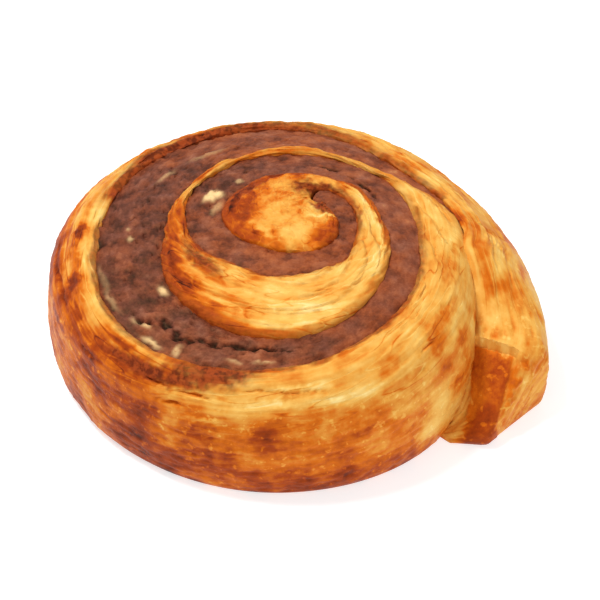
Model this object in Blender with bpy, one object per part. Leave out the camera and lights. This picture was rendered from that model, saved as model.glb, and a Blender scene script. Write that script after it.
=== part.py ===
"""Cinnamon roll: a snail of flaky laminated dough with cinnamon filling between its turns.

The dough is one strip that folds round the filling's inner end, winds outwards for nearly three
turns and ends in a tail whose last corner is folded down to the base. The filling is a band that
runs through the roll from the top to the base. Both are swept from sections that stand upright
across the spiral.

A place on the roll is polar: a bearing in degrees, clockwise from the rear (+Y) as seen from
above, and a radius from the spiral's centre. A bearing past 360 is on a later turn. Within a
section, a place is its distance along the section from the inner side, and its height. The
origin is at the middle of the base, on the surface that the roll stands on.
"""

import bpy
import bmesh
import numpy as np

MM = 0.001

# The roll as a whole. The crown is the middle of the top, and the top falls from it as a dome.
SPIRAL_CENTRE = (-1.1 * MM, -1.2 * MM)
CROWN_HEIGHT = 38.0 * MM
RIM_HEIGHT = 30.0 * MM
RIM_RADIUS = 54.0 * MM
SEAM_GAP = 0.3 * MM

# Radii in mm at each eighth of a turn, in the order rear-right, right, front-right, front,
# front-left, left, rear-left, rear. The filling's two sides start at the innermost eighth and
# close to a seam at its end. The outline carries on from there as the roll's outer wall.
EIGHTH = 45.0
FILLING_INNER = (
    10.8, 11.6, 12.2, 10.6, 11.2, 15.6, 19.0, 20.6,
    22.0, 22.9, 29.2, 37.0, 35.2, 29.8, 31.2, 34.8,
    33.4, 42.9, 51.6,
)
FILLING_OUTER = (
    16.6, 15.6, 17.6, 18.4, 19.4, 24.0, 29.2, 31.2,
    31.0, 29.9, 36.0, 44.6, 48.4, 45.4, 47.6, 46.2,
    37.4, 42.9, 51.6,
)
OUTLINE = (42.9, 51.6, 55.0, 56.5, 58.9, 59.4, 57.4, 55.0, 59.6, 71.0)
OUTLINE_START = 810.0

# Bearings along the strip
TIP = 36.0
FLANK_START = 42.0
STRIP_START = 54.0
FLANK_END = 153.0
FOLD_END = 396.0
FILLING_END = 801.0
WALL_SHOWS = (800.0, 860.0)
TAIL_FALLS = (1080.0, 1186.0)
TAIL_LEANS = (1161.0, 1180.0)
TAIL_DIPS = (1174.0, 1195.0)
FLAP_EDGE = 1195.5
STRIP_END = 1214.0
STATION_STEP = 9.0
TAIL_STATIONS = (1184.0, 1189.5, 1193.5, 1194.7, 1196.3, 1200.0, 1204.5, 1209.0, 1211.5, 1214.0)

# The dough's hidden edges, between turns
EDGE_DROP = 0.9 * MM
CREASE_DROP = 0.3 * MM
CREASE_STARTS = (750.0, 795.0)
EDGE_WIDTH = 2.2 * MM
EDGE_SHARE = 0.35
HIDDEN_INSET = 0.8 * MM

# The outer wall: a round shoulder, a widest point low down and a foot that tucks in
SHOULDER_WIDTH = 11.0 * MM
SHOULDER_SHARE = 0.85
SHOULDER_POWER = 2.6
BULGE_HEIGHT = 12.0 * MM
FOOT_INSET = 3.0 * MM

# The tail: straight cuts run from its side to its tip and on to the notch, all three given
# from the spiral's centre
TAIL_SIDE = (61.3 * MM, -22.4 * MM)
TAIL_TIP = (46.4 * MM, -37.6 * MM)
TAIL_NOTCH = (35.0 * MM, -36.4 * MM)
TAIL_TOP = 22.5 * MM
TAIL_END_TOP = 20.0 * MM
TAIL_SHOULDER = 8.0 * MM
TAIL_INSET = 1.2 * MM
CREASE_SHARE = 1.0
FLAP_TOP = 17.0 * MM
FLAP_FOOT = 1.8 * MM
FLAP_SHOULDER = 4.0 * MM
FLAP_BULGE_SHARE = 0.55

# Each turn is puffed up between its edges, and wide turns fully
PUFF = 1.0 * MM
PUFF_FULL_WIDTH = 14.0 * MM

# Flaky sheets: each lies over the next, and its edge is a small step that wanders
SHEET_STEP = 0.7 * MM
SHEET_PITCH = 4.2 * MM
SHEET_DROP_SHARE = 0.22
SHEET_WANDER = 0.55
SHEET_WAVES = (1.3, 2.9)
SHEET_FADE = 2.0 * MM
CORE_RELIEF_SHARE = 0.5

# The outermost sheet's rim: a ridge with a groove behind it, along the shoulder
RIM_FOLD = 0.7 * MM
RIM_FOLD_GROOVE = 0.8
RIM_FOLD_RUN = (905.0, 950.0, 1075.0, 1110.0)
RIM_RIDGE_ANGLE = np.radians(50.0)
RIM_GROOVE_ANGLE = np.radians(24.0)
RIM_SPREAD = np.radians(12.0)

# The filling is sunk below the dough and uneven on top. It is deepest at the front, where the
# inner turn's edge stands over it as a lip.
FILLING_SUNK = 0.8 * MM
FILLING_BASE = 0.4 * MM
FILLING_BUMP = 0.4 * MM
FILLING_EDGE_DROP = 0.5 * MM
FILLING_EDGE_POWER = 4
BUMPS_ALONG = (9.0, 4.0)
BUMPS_ACROSS = (5.0, -7.0)
LIP_DEPTH = 1.0 * MM
LIP_RUN = (485.0, 515.0, 560.0, 590.0)
LIP_SHARE = 0.55
FILLING_NOSE = 9.0
NOSE_SPREAD = (1.35, 0.4)
NOSE_STATIONS = 3

# Points round one section
FACE_POINTS = 5
TOP_POINTS = 19
SHOULDER_POINTS = 8
FOOT_POINTS = 3
FILLING_TOP_POINTS = 8
LEAN_SAMPLES = 80
SHARP_ANGLE = np.radians(45.0)

CRUST_COLOUR = (0.72, 0.36, 0.10, 1.0)
CRUST_ROUGHNESS = 0.45
FILLING_COLOUR = (0.22, 0.09, 0.05, 1.0)
FILLING_ROUGHNESS = 0.6


def ramp(value, low, high):
    """0 below low, 1 above high, and an even S between them."""
    t = np.clip((np.asarray(value, float) - low) / (high - low), 0.0, 1.0)
    return t * t * (3.0 - 2.0 * t)


def mix(a, b, share):
    return a + (b - a) * share


def smooth(values, bearing, start=EIGHTH):
    """A smooth curve through one value in mm for each eighth of a turn from start on."""
    values = np.asarray(values, float) * MM
    place = (np.asarray(bearing, float) - start) / EIGHTH
    first = np.clip(np.floor(place).astype(int), 0, len(values) - 2)
    t = place - first
    before, a, b, after = (
        values[np.clip(first + k, 0, len(values) - 1)] for k in (-1, 0, 1, 2)
    )
    slope = b - before
    bend = 2 * before - 5 * a + 4 * b - after
    twist = 3 * (a - b) + after - before
    return a + 0.5 * t * (slope + t * (bend + t * twist))


def plan(bearing, radius):
    """The place above the base at a bearing and radius."""
    angle = np.radians(bearing)
    return np.array([
        SPIRAL_CENTRE[0] + radius * np.sin(angle),
        SPIRAL_CENTRE[1] + radius * np.cos(angle),
    ])


def filling_inner(bearing):
    return smooth(FILLING_INNER, bearing)


def filling_outer(bearing):
    return smooth(FILLING_OUTER, bearing)


def cut_radius(bearing, start, end):
    """The radius at which a straight cut through two corners crosses a bearing."""
    along = np.subtract(end, start)
    angle = np.radians(bearing)
    across = np.sin(angle) * along[1] - np.cos(angle) * along[0]
    return (start[0] * along[1] - start[1] * along[0]) / across


def outer_edge(bearing):
    """The radius of the strip's outer side at its widest."""
    if bearing < OUTLINE_START + EIGHTH:
        return float(filling_inner(bearing)) - SEAM_GAP / 2
    radius = float(smooth(OUTLINE, bearing, OUTLINE_START))
    if bearing > TAIL_LEANS[1]:
        radius = min(radius, cut_radius(bearing, TAIL_SIDE, TAIL_TIP))
    if bearing > FLAP_EDGE:
        radius = min(radius, cut_radius(bearing, TAIL_TIP, TAIL_NOTCH))
    return radius


def dome(radius):
    """The height of the roll's top at a radius."""
    return CROWN_HEIGHT - (CROWN_HEIGHT - RIM_HEIGHT) * (radius / RIM_RADIUS) ** 2


def flap_height(bearing):
    """The folded-down corner's height, from its upper edge to its foot at the strip's end."""
    share = (bearing - FLAP_EDGE) / (STRIP_END - FLAP_EDGE)
    return mix(FLAP_TOP, FLAP_FOOT, np.clip(share, 0.0, 1.0))


def on_flap(bearing):
    return bearing > FLAP_EDGE


def section_ends(bearing):
    """Where a section starts and ends in plan. The innermost ones fan out from the filling's tip."""
    end = plan(bearing, outer_edge(bearing))
    if bearing >= FOLD_END:
        return plan(bearing, filling_outer(bearing - 360.0) + SEAM_GAP / 2), end
    if bearing <= FLANK_END:
        flank = mix(FLANK_START, TIP, (bearing - STRIP_START) / (FLANK_END - STRIP_START))
        return plan(flank, filling_inner(flank) - SEAM_GAP / 2), end
    inner, outer = float(filling_inner(TIP)), float(filling_outer(TIP))
    turn = np.pi * (bearing - FLANK_END) / (FOLD_END - FLANK_END)
    middle = plan(TIP, (inner + outer) / 2)
    outwards = plan(TIP, 1.0) - plan(TIP, 0.0)
    nosewards = np.array([-outwards[1], outwards[0]])
    reach = (outer - inner) / 2 + SEAM_GAP / 2
    return middle + reach * (nosewards * np.sin(turn) - outwards * np.cos(turn)), end


def edge_drop(bearing):
    """How far a turn's hidden edge lies below its top. It is less where the tail parts from it."""
    return mix(EDGE_DROP, CREASE_DROP, float(ramp(bearing, *CREASE_STARTS)))


def wall_form(bearing, top):
    """The outer side's shoulder width, widest height and foot inset."""
    shows = float(ramp(bearing, *WALL_SHOWS))
    falls = float(ramp(bearing, *TAIL_FALLS))
    room = outer_edge(bearing) - float(filling_outer(max(bearing - 360.0, TIP)))
    shoulder = min(SHOULDER_WIDTH, SHOULDER_SHARE * room)
    width = mix(mix(EDGE_WIDTH, shoulder, shows), TAIL_SHOULDER, falls)
    widest = mix(top - edge_drop(bearing), BULGE_HEIGHT, shows)
    inset = mix(mix(HIDDEN_INSET, FOOT_INSET, shows), TAIL_INSET, falls)
    if on_flap(bearing):
        width = FLAP_SHOULDER
        widest = FLAP_BULGE_SHARE * top
    return width, widest, inset


def top_height(bearing, radius):
    """The top's height at a radius, before its edges are rounded."""
    if on_flap(bearing):
        return flap_height(bearing) + 0.0 * radius
    if bearing < TAIL_FALLS[0]:
        return dome(radius)
    start = float(filling_outer(bearing - 360.0))
    share = ramp(radius, start, outer_edge(bearing))
    height = mix(dome(radius), TAIL_TOP, ramp(bearing, *TAIL_FALLS) * share)
    return mix(height, TAIL_END_TOP, ramp(bearing, *TAIL_DIPS))


def rim_fold(bearing, turn):
    """How far the outermost sheet's rim stands out of the shoulder, at a turn of its round."""
    start, full, fades, end = RIM_FOLD_RUN
    run = ramp(bearing, start, full) * (1.0 - ramp(bearing, fades, end))
    ridge = np.exp(-((turn - RIM_RIDGE_ANGLE) / RIM_SPREAD) ** 2)
    groove = np.exp(-((turn - RIM_GROOVE_ANGLE) / RIM_SPREAD) ** 2)
    return RIM_FOLD * run * (ridge - RIM_FOLD_GROOVE * groove)


def outer_side(bearing, points, foot_points):
    """Radii and heights down a radial section's outer side, from its shoulder to its foot."""
    edge = outer_edge(bearing)
    width, widest, inset = wall_form(bearing, top_height(bearing, edge))
    turn = np.linspace(0.0, np.pi / 2, points + 1)
    rise = np.clip(np.cos(turn), 0.0, 1.0) ** (2 / SHOULDER_POWER)
    radius = edge - width + width * np.sin(turn) ** (2 / SHOULDER_POWER)
    height = widest + (top_height(bearing, radius) - widest) * rise
    fold = rim_fold(bearing, turn)
    radius = radius + fold * np.sin(turn)
    height = height + fold * np.cos(turn)
    tuck = np.linspace(0.0, np.pi / 2, foot_points + 1)[1:]
    radius = np.append(radius, edge - inset * (1.0 - np.cos(tuck)))
    height = np.append(height, widest * (1.0 - np.sin(tuck)))
    return radius, np.maximum(height, 0.0)


def inner_side(bearing, start_radius):
    """Radii and heights up a section's inner side. The tail's leans on the turn inside it."""
    leans = float(ramp(bearing, *TAIL_LEANS))
    if leans == 0.0:
        top = float(top_height(bearing, start_radius)) - edge_drop(bearing - 360.0)
        heights = np.linspace(0.0, top, FACE_POINTS)
        return np.full(FACE_POINTS, start_radius), heights
    radius, height = outer_side(bearing - 360.0, LEAN_SAMPLES, LEAN_SAMPLES)
    width = wall_form(bearing - 360.0, RIM_HEIGHT)[0]
    crease = np.interp(outer_edge(bearing - 360.0) - CREASE_SHARE * width, radius, height)
    level = float(top_height(bearing, start_radius)) - edge_drop(bearing - 360.0)
    top = mix(level, min(crease + SEAM_GAP, level), leans)
    heights = np.linspace(0.0, top, FACE_POINTS)
    leaning = np.interp(heights - SEAM_GAP, height[::-1], radius[::-1]) + SEAM_GAP
    return mix(start_radius, leaning, leans), heights


def sheet_relief(bearing, reach, depth):
    """How far a sheet's surface stands out, at a depth in from the outer side."""
    angle = np.radians(bearing)
    wander = SHEET_WANDER * sum(np.sin(wave * angle + k) for k, wave in enumerate(SHEET_WAVES))
    place = np.mod(depth / SHEET_PITCH + wander, 1.0)
    rise = np.where(
        place < SHEET_DROP_SHARE,
        place / SHEET_DROP_SHARE,
        (1.0 - place) / (1.0 - SHEET_DROP_SHARE),
    )
    fade = ramp(reach - depth, 0.0, SHEET_FADE) * ramp(depth, 0.0, SHEET_FADE)
    return SHEET_STEP * (rise - 0.5) * fade


def dough_section(bearing):
    """The closed ring of points round one section, inner foot first, over the top and back."""
    start, end = section_ends(bearing)
    length = float(np.linalg.norm(end - start))
    across = (end - start) / length
    centre = np.array(SPIRAL_CENTRE)
    fan = bearing < FOLD_END
    start_radius = float(np.linalg.norm(start - centre))
    edge = EDGE_WIDTH if length * EDGE_SHARE > EDGE_WIDTH else length * EDGE_SHARE

    face_radius, face_height = inner_side(bearing, start_radius)
    face = face_radius - start_radius
    side_radius, side_height = outer_side(bearing, SHOULDER_POINTS, FOOT_POINTS)
    side = length - (side_radius.max() - side_radius) * edge / EDGE_WIDTH if fan \
        else side_radius - start_radius

    first, last = face[-1], side[0]
    place = np.linspace(first, last, TOP_POINTS + 1)[1:-1]
    radius = np.linalg.norm(start + np.outer(place, across) - centre, axis=1)
    share = (place - first) / (length - first)
    level = top_height(bearing, radius)
    drop = float(top_height(bearing, start_radius + first)) - face_height[-1]
    level = level - drop * (1.0 - np.clip((place - first) / edge, 0.0, 1.0)) ** 2
    puff = PUFF * min(1.0, length / PUFF_FULL_WIDTH) * (1.0 - float(ramp(bearing, *TAIL_DIPS)))
    level = level + puff * 4.0 * share * (1.0 - share)
    side_share = np.clip((side - first) / (length - first), 0.0, 1.0)
    lift = puff * 4.0 * side_share * (1.0 - side_share)
    side_height = side_height + lift * side_height / side_height[0]

    relief = sheet_relief(bearing, length - first, length - place)
    relief = relief * (CORE_RELIEF_SHARE if fan else 1.0 - float(ramp(bearing, *TAIL_DIPS)))
    level = level + relief

    place = np.concatenate([face, place, side])
    height = np.concatenate([face_height, level, side_height])
    ring = start + np.outer(place, across)
    return np.column_stack([ring, height])


def lip_dip(bearing, share):
    """How far the filling drops under the inner turn's lip, at a share of its width."""
    start, full, fades, end = LIP_RUN
    run = ramp(bearing, start, full) * (1.0 - ramp(bearing, fades, end))
    return LIP_DEPTH * run * (1.0 - ramp(share, 0.0, LIP_SHARE))


def filling_section(bearing):
    """The closed ring of points round the filling, with a round nose at its inner end."""
    inner = float(filling_inner(bearing)) + SEAM_GAP / 2
    outer = float(filling_outer(bearing)) - SEAM_GAP / 2
    if bearing < TIP:
        half = np.sqrt(1.0 - ((TIP - bearing) / FILLING_NOSE) ** 2)
        inner, outer = (
            (inner + outer) / 2 + sign * half * (outer - inner) / 2 for sign in (-1, 1)
        )
    share = np.linspace(0.0, 1.0, FILLING_TOP_POINTS)
    radius = mix(inner, outer, share)
    angle = np.radians(bearing)
    bumps = np.sin(BUMPS_ALONG[0] * angle + BUMPS_ACROSS[0] * share)
    bumps = bumps * np.sin(BUMPS_ALONG[1] * angle + BUMPS_ACROSS[1] * share + 1.0)
    edge = (2.0 * share - 1.0) ** FILLING_EDGE_POWER
    height = dome(radius) - FILLING_SUNK - FILLING_EDGE_DROP * edge
    height = height + FILLING_BUMP * bumps * (1.0 - edge) - lip_dip(bearing, share)
    top = np.column_stack([np.array([plan(bearing, r) for r in radius]), height])
    base = np.array([[*plan(bearing, r), FILLING_BASE] for r in (outer, inner)])
    return np.vstack([top, base])


def swept(name, rings, colour, roughness):
    """A closed body through rings of points, capped at both ends, with its own material."""
    shape = bmesh.new()
    loops = [[shape.verts.new(point) for point in ring] for ring in rings]
    for a, b in zip(loops, loops[1:]):
        for k in range(len(a)):
            after = (k + 1) % len(a)
            shape.faces.new((a[k], a[after], b[after], b[k]))
    shape.faces.new(loops[0][::-1])
    shape.faces.new(loops[-1])
    bmesh.ops.recalc_face_normals(shape, faces=shape.faces)
    mesh = bpy.data.meshes.new(name)
    shape.to_mesh(mesh)
    shape.free()
    mesh.shade_smooth()
    mesh.set_sharp_from_angle(angle=SHARP_ANGLE)

    material = bpy.data.materials.new(name)
    material.use_nodes = True
    surface = material.node_tree.nodes["Principled BSDF"]
    surface.inputs["Base Color"].default_value = colour
    surface.inputs["Roughness"].default_value = roughness
    surface.inputs["Metallic"].default_value = 0.0
    mesh.materials.append(material)
    body = bpy.data.objects.new(name, mesh)
    bpy.context.scene.collection.objects.link(body)
    return body


def make_dough():
    even = np.arange(STRIP_START, TAIL_STATIONS[0], STATION_STEP)
    return swept(
        "dough",
        [dough_section(float(b)) for b in (*even, *TAIL_STATIONS)],
        CRUST_COLOUR,
        CRUST_ROUGHNESS,
    )


def make_filling():
    nose = TIP - FILLING_NOSE * np.sin(np.linspace(*NOSE_SPREAD, NOSE_STATIONS))
    even = np.arange(TIP, FILLING_END + 1.0, STATION_STEP)
    return swept(
        "filling",
        [filling_section(float(b)) for b in (*nose, *even)],
        FILLING_COLOUR,
        FILLING_ROUGHNESS,
    )


def main():
    for item in list(bpy.data.objects):
        bpy.data.objects.remove(item)
    make_dough()
    make_filling()


if __name__ == "__main__":
    main()
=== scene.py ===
"""Cinnamon roll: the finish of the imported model, laid out as a Blender add-on.

The dough is one strip that winds outwards round a band of cinnamon filling and ends in a tail
folded down to the base. Both are made again here with finer meshes on the same spiral, with
flaky sheets, blisters, pits and browning. The stage is a pale floor with soft studio light.

A place on the roll is polar: a bearing in degrees, clockwise from the rear (+Y) as seen from
above, and a radius from the spiral's centre. A bearing past 360 is on a later turn. Lengths in
millimetres are named so and turned into metres where a mesh is made.
"""

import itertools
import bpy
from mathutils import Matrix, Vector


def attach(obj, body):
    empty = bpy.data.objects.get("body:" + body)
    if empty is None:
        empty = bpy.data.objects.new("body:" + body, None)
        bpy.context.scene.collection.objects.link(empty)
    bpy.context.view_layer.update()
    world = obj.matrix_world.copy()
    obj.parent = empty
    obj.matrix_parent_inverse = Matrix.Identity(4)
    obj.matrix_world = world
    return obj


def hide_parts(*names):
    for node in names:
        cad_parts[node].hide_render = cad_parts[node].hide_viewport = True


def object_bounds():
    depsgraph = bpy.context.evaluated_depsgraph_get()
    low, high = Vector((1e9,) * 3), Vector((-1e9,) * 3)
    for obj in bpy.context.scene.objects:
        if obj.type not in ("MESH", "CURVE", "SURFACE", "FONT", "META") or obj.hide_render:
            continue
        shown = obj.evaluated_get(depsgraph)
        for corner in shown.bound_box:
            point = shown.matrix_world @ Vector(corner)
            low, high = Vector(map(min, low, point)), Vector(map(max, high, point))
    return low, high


bl_info = {
    "name": "Cinnamon roll",
    "version": (1, 0, 0),
    "blender": (4, 5, 0),
    "location": "3D View > Sidebar > Cinnamon roll",
    "description": "Makes a cinnamon roll's dough, filling and flakes, and a plain stage",
    "category": "Object",
}

import bpy
import numpy as np
from bpy.props import FloatProperty, FloatVectorProperty, IntProperty, PointerProperty
from bpy.types import Operator, Panel, PropertyGroup
from mathutils import Vector

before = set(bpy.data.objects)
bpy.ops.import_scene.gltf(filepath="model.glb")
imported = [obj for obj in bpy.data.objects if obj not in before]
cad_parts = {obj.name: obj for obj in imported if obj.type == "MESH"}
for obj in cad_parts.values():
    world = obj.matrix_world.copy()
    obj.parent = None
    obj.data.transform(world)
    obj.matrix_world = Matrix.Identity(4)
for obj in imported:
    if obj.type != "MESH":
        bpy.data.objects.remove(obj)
CAD_BOX = [list(corner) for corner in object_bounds()]
BODY = "root"
MM = 0.001
NOISE_CELLS = 256
NOISE_GAIN = 1.5

# The spiral, in mm, as the solids have it
SPIRAL_CENTRE = (-1.1, -1.2)
CROWN_HEIGHT = 38.0
RIM_HEIGHT = 30.0
RIM_RADIUS = 54.0
SEAM_GAP = 0.3

# Radii at each eighth of a turn, in the order rear-right, right, front-right, front, front-left,
# left, rear-left, rear. The filling's two sides start at the innermost eighth.
EIGHTH = 45.0
FILLING_INNER = (
    10.8, 11.6, 12.2, 10.6, 11.2, 15.6, 19.0, 20.6,
    22.0, 22.9, 29.2, 37.0, 35.2, 29.8, 31.2, 34.8,
    33.4, 42.9, 51.6,
)
FILLING_OUTER = (
    16.6, 15.6, 17.6, 18.4, 19.4, 24.0, 29.2, 31.2,
    31.0, 29.9, 36.0, 44.6, 48.4, 45.4, 47.6, 46.2,
    37.4, 42.9, 51.6,
)
OUTLINE = (42.9, 51.6, 55.0, 56.5, 58.9, 59.4, 57.4, 55.0, 59.6, 71.0)
OUTLINE_START = 810.0

# Bearings along the strip
TIP = 36.0
FLANK_START = 42.0
STRIP_START = 54.0
FLANK_END = 153.0
FOLD_END = 396.0
FILLING_END = 801.0
WALL_SHOWS = (798.0, 834.0)
TAIL_FALLS = (1080.0, 1186.0)
TAIL_LEANS = (1161.0, 1174.0)
TAIL_DIPS = (1174.0, 1195.0)
FLAP_EDGE = 1195.5
STRIP_END = 1214.0

# The dough's edges between turns, and its outer wall's round shoulder and foot
EDGE_DROP = 0.9
CREASE_DROP = 0.3
CREASE_STARTS = (750.0, 795.0)
EDGE_WIDTH = 2.2
EDGE_SHARE = 0.35
HIDDEN_INSET = 0.8
SHOULDER_WIDTH = 11.0
SHOULDER_SHARE = 0.85
SHOULDER_POWER = 2.6
BULGE_HEIGHT = 12.0
FOOT_INSET = 3.0

# The tail's corners from the spiral's centre, and its heights
TAIL_SIDE = (61.3, -22.4)
TAIL_TIP = (46.4, -37.6)
TAIL_NOTCH = (35.0, -36.4)
TAIL_TOP = 22.5
TAIL_END_TOP = 20.0
TAIL_SHOULDER = 8.0
TAIL_INSET = 1.2
CREASE_SHARE = 1.0
CREASE_GAP = -0.15
CREASE_CLOSES = (1146.0, 1161.0)
FLAP_TOP = 17.0
FLAP_FOOT = 1.8
FLAP_SHOULDER = 4.0
FLAP_BULGE_SHARE = 0.55

# The large sheets and the rim fold, which the solids have too
PUFF = 1.0
PUFF_FULL_WIDTH = 14.0
SHEET_STEP = 0.7
SHEET_PITCH = 4.2
SHEET_DROP_SHARE = 0.22
SHEET_WANDER = 0.55
SHEET_WAVES = (1.3, 2.9)
SHEET_FADE = 2.0
CORE_RELIEF_SHARE = 0.5
RIM_FOLD = 0.7
RIM_FOLD_GROOVE = 0.8
RIM_FOLD_RUN = (905.0, 950.0, 1075.0, 1110.0)
RIM_RIDGE_ANGLE = np.radians(50.0)
RIM_GROOVE_ANGLE = np.radians(24.0)
RIM_SPREAD = np.radians(12.0)

# The filling's level and base, its step under the coil's front lip, and its round nose
FILLING_SUNK = 0.8
FILLING_BASE = 0.4
FILLING_EDGE_DROP = 0.5
LIP_DEPTH = 0.4
LIP_RUN = (485.0, 515.0, 560.0, 590.0)
LIP_SHARE = 0.55
FILLING_NOSE = 9.0

# How finely a section is drawn before its points are shared out
FACE_SAMPLES = 12
TOP_SAMPLES = 160
SIDE_SAMPLES = 70
FOOT_SAMPLES = 40
HIDDEN_WEIGHT = 0.05
SEEN_DEPTH = (1.5, 4.5)
FLAP_EDGE_STATIONS = (-0.25, -0.05, 0.05, 0.25)

# The radius that the strip's length is measured at, and the heights that the wall's finish starts
# between. The folded corner's two edges and the egg wash on the shoulder go by bearing.
RIBBON_RADIUS = 30.0
WALL_TOP = (28.0, 20.0)
FLAP_SIDE = ((1195, 58.2), (1199.7, 58.5), (1203.9, 59.2), (1207.1, 59.9), (1214, 62.0))
FLAP_ROOT = ((1195, 46.0), (1200, 49.6), (1206, 52.0), (1212.6, 54.6), (1214, 55.2))
SHOULDER_GLOSS = ((54, 0.0), (820, 0.0), (880, 0.5), (1214, 0.5))
CRISP_ANGLE = np.radians(55.0)

# How far the filling laps over the dough's rounded edges
FILLING_LAP = 1.1

# The most degrees between two sections, and the heights over which the fine relief starts
DOUGH_LARGEST_TURN = 2.0
FILLING_LARGEST_TURN = 1.2
RELIEF_STARTS = (0.2, 2.0)

# How ragged a mark's outline is, by bumps of this size, and how sharply it ends
MARK_RAG_SIZE = 1.6
MARK_FALL = 1.5

# Degrees over which one stretch of the strip blends into the next, and the folded corner's edges
BLEND = 12.0
FLAP_RAG_DEPTH = 0.4
FLAP_EDGE_BLUR = 0.3
FLAP_SIDE_BLUR = 0.25
FLAP_ROOT_BLUR = 0.4

# How far the grain follows the strip: on the core's fan, and what the wall and the corner lose
FAN_FLOW = 0.6
FAN_FLOW_REACH = (1.0, 8.0)
WALL_CALM = 0.75
FLAP_CALM = 0.9

# Noise drawn out along the strip: its bumps' sizes in mm along and across, and its seed
STREAKS = (7.0, 0.9, 11)
FINE_STREAKS = (4.0, 0.5, 12)
BLISTERS = (3.0, 2.0, 16)
DRAWN_PATCHES = (9.0, 3.0, 20)
BLOTCHES = (6.0, 5.0, 22)
SIDE_RAG = (5.0, 2.2, 71)
RIM_RAG = (4.0, 2.0, 73)
FAR_RIM_RAG = (4.0, 2.0, 74)
BRINK_RAG = (5.0, 2.0, 95)

# Noise over the surface: its bumps' size in mm, its seed, and its layers where they aren't three
CRUMPLE = (2.4, 14)
SWELL = (9.0, 15, 1)
PATCHES = (8.0, 21)
FLAP_RAG = (4.0, 90)
LUMPS = (2.2, 41)
GRAINS = (0.8, 44)
PORES = (1.3, 51)
TONE_PATCHES = (4.5, 54)
TONE_SPECKS = (0.9, 57)
LAP = (5.0, 60, 2)
WARM_PATCHES = (5.0, 62)

# The thin sheets' pitches and seeds, how their edges drift, by an amount and sizes, and where
# they show
THIN_SHEETS = (1.7, 61)
WALL_SHEETS = (2.6, 65)
WALL_SHEET_SHARE = 0.6
THIN_SHEET_DRIFTS = ((1.6, 24.0, 7.0), (0.4, 6.0, 2.6))
THIN_SHEET_FRONT = 0.2
THIN_SHEET_PATCHES = (11.0, 3.5)
THIN_SHEETS_SHOW = (-0.4, 0.2)
SHEET_MIDDLE = 0.4

# Shares of the fine relief: the wall's, the shoulder's and the folded corner's
FINE_STREAK_SHARE = 0.5
WALL_STREAK_SHARE = 0.3
BLISTER_MIDDLE = 0.3
SHOULDER_REACH = (2.0, 8.0)
SHOULDER_RELIEF = 0.6
FLAP_RELIEF = 0.15


def srgb(red, green, blue):
    """A colour in linear light from its usual values of 0 to 255."""
    share = np.array([red, green, blue]) / 255.0
    linear = np.where(share < 0.04045, share / 12.92, ((share + 0.055) / 1.055) ** 2.4)
    return tuple(float(value) for value in linear)


def ramp(value, low, high):
    """0 below low, 1 above high, and an even S between them."""
    t = np.clip((np.asarray(value, float) - low) / (high - low), 0.0, 1.0)
    return t * t * (3.0 - 2.0 * t)


def mix(a, b, share):
    return a + (b - a) * share


def smooth(values, bearing, start=EIGHTH):
    """A smooth curve through one value for each eighth of a turn from start on."""
    values = np.asarray(values, float)
    place = (np.asarray(bearing, float) - start) / EIGHTH
    first = np.clip(np.floor(place).astype(int), 0, len(values) - 2)
    t = place - first
    before, a, b, after = (
        values[np.clip(first + k, 0, len(values) - 1)] for k in (-1, 0, 1, 2)
    )
    slope = b - before
    bend = 2 * before - 5 * a + 4 * b - after
    twist = 3 * (a - b) + after - before
    return a + 0.5 * t * (slope + t * (bend + t * twist))


def through(bearing, knots):
    """A value that eases from knot to knot, each a bearing and the value there."""
    places, values = zip(*knots)
    bearing = np.asarray(bearing, float)
    first = np.clip(np.searchsorted(places, bearing) - 1, 0, len(places) - 2)
    places, values = np.array(places), np.array(values)
    t = ramp(bearing, places[first], places[first + 1])
    return mix(values[first], values[first + 1], t)


def plan(bearing, radius):
    """The place above the base at a bearing and radius."""
    angle = np.radians(bearing)
    return np.stack([
        SPIRAL_CENTRE[0] + radius * np.sin(angle),
        SPIRAL_CENTRE[1] + radius * np.cos(angle),
    ], axis=-1)


def noise(place, seed):
    """Smooth noise, about -1 to 1, at each place, with one bump for each unit of length."""
    chance = np.random.default_rng(seed)
    order = np.tile(chance.permutation(NOISE_CELLS), 3)
    slopes = chance.normal(size=(NOISE_CELLS, 3))
    slopes /= np.linalg.norm(slopes, axis=1)[:, None]
    cell = np.floor(place).astype(int)
    t = place - cell
    cell &= NOISE_CELLS - 1
    fade = t ** 3 * (t * (6.0 * t - 15.0) + 10.0)
    total = np.zeros(place.shape[:-1])
    for corner in itertools.product((0, 1), repeat=3):
        index = order[cell[..., 0] + corner[0]]
        index = order[index + cell[..., 1] + corner[1]]
        index = order[index + cell[..., 2] + corner[2]]
        weight = np.prod(np.where(corner, fade, 1.0 - fade), axis=-1)
        total += weight * ((t - corner) * slopes[index]).sum(axis=-1)
    return total * NOISE_GAIN


def layered(place, seed, layers=3):
    """Noise with finer, weaker noise on it."""
    return sum(noise(place * 2.0 ** k, seed + k) / 2.0 ** k for k in range(layers))


def bumps(place, size, seed, layers=3):
    """Layered noise with bumps of a size in mm."""
    return layered(place / size, seed, layers)


def saw(place, front):
    """Rises from 0 to 1 over the front share of each unit of place, and falls over the rest."""
    place = np.mod(place, 1.0)
    return np.where(place < front, place / front, (1.0 - place) / (1.0 - front))


def filling_inner(bearing):
    return smooth(FILLING_INNER, bearing)


def filling_outer(bearing):
    return smooth(FILLING_OUTER, bearing)


def cut_radius(bearing, start, end):
    """The radius at which a straight cut through two corners crosses a bearing."""
    along = np.subtract(end, start)
    angle = np.radians(bearing)
    across = np.sin(angle) * along[1] - np.cos(angle) * along[0]
    return (start[0] * along[1] - start[1] * along[0]) / across


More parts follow.
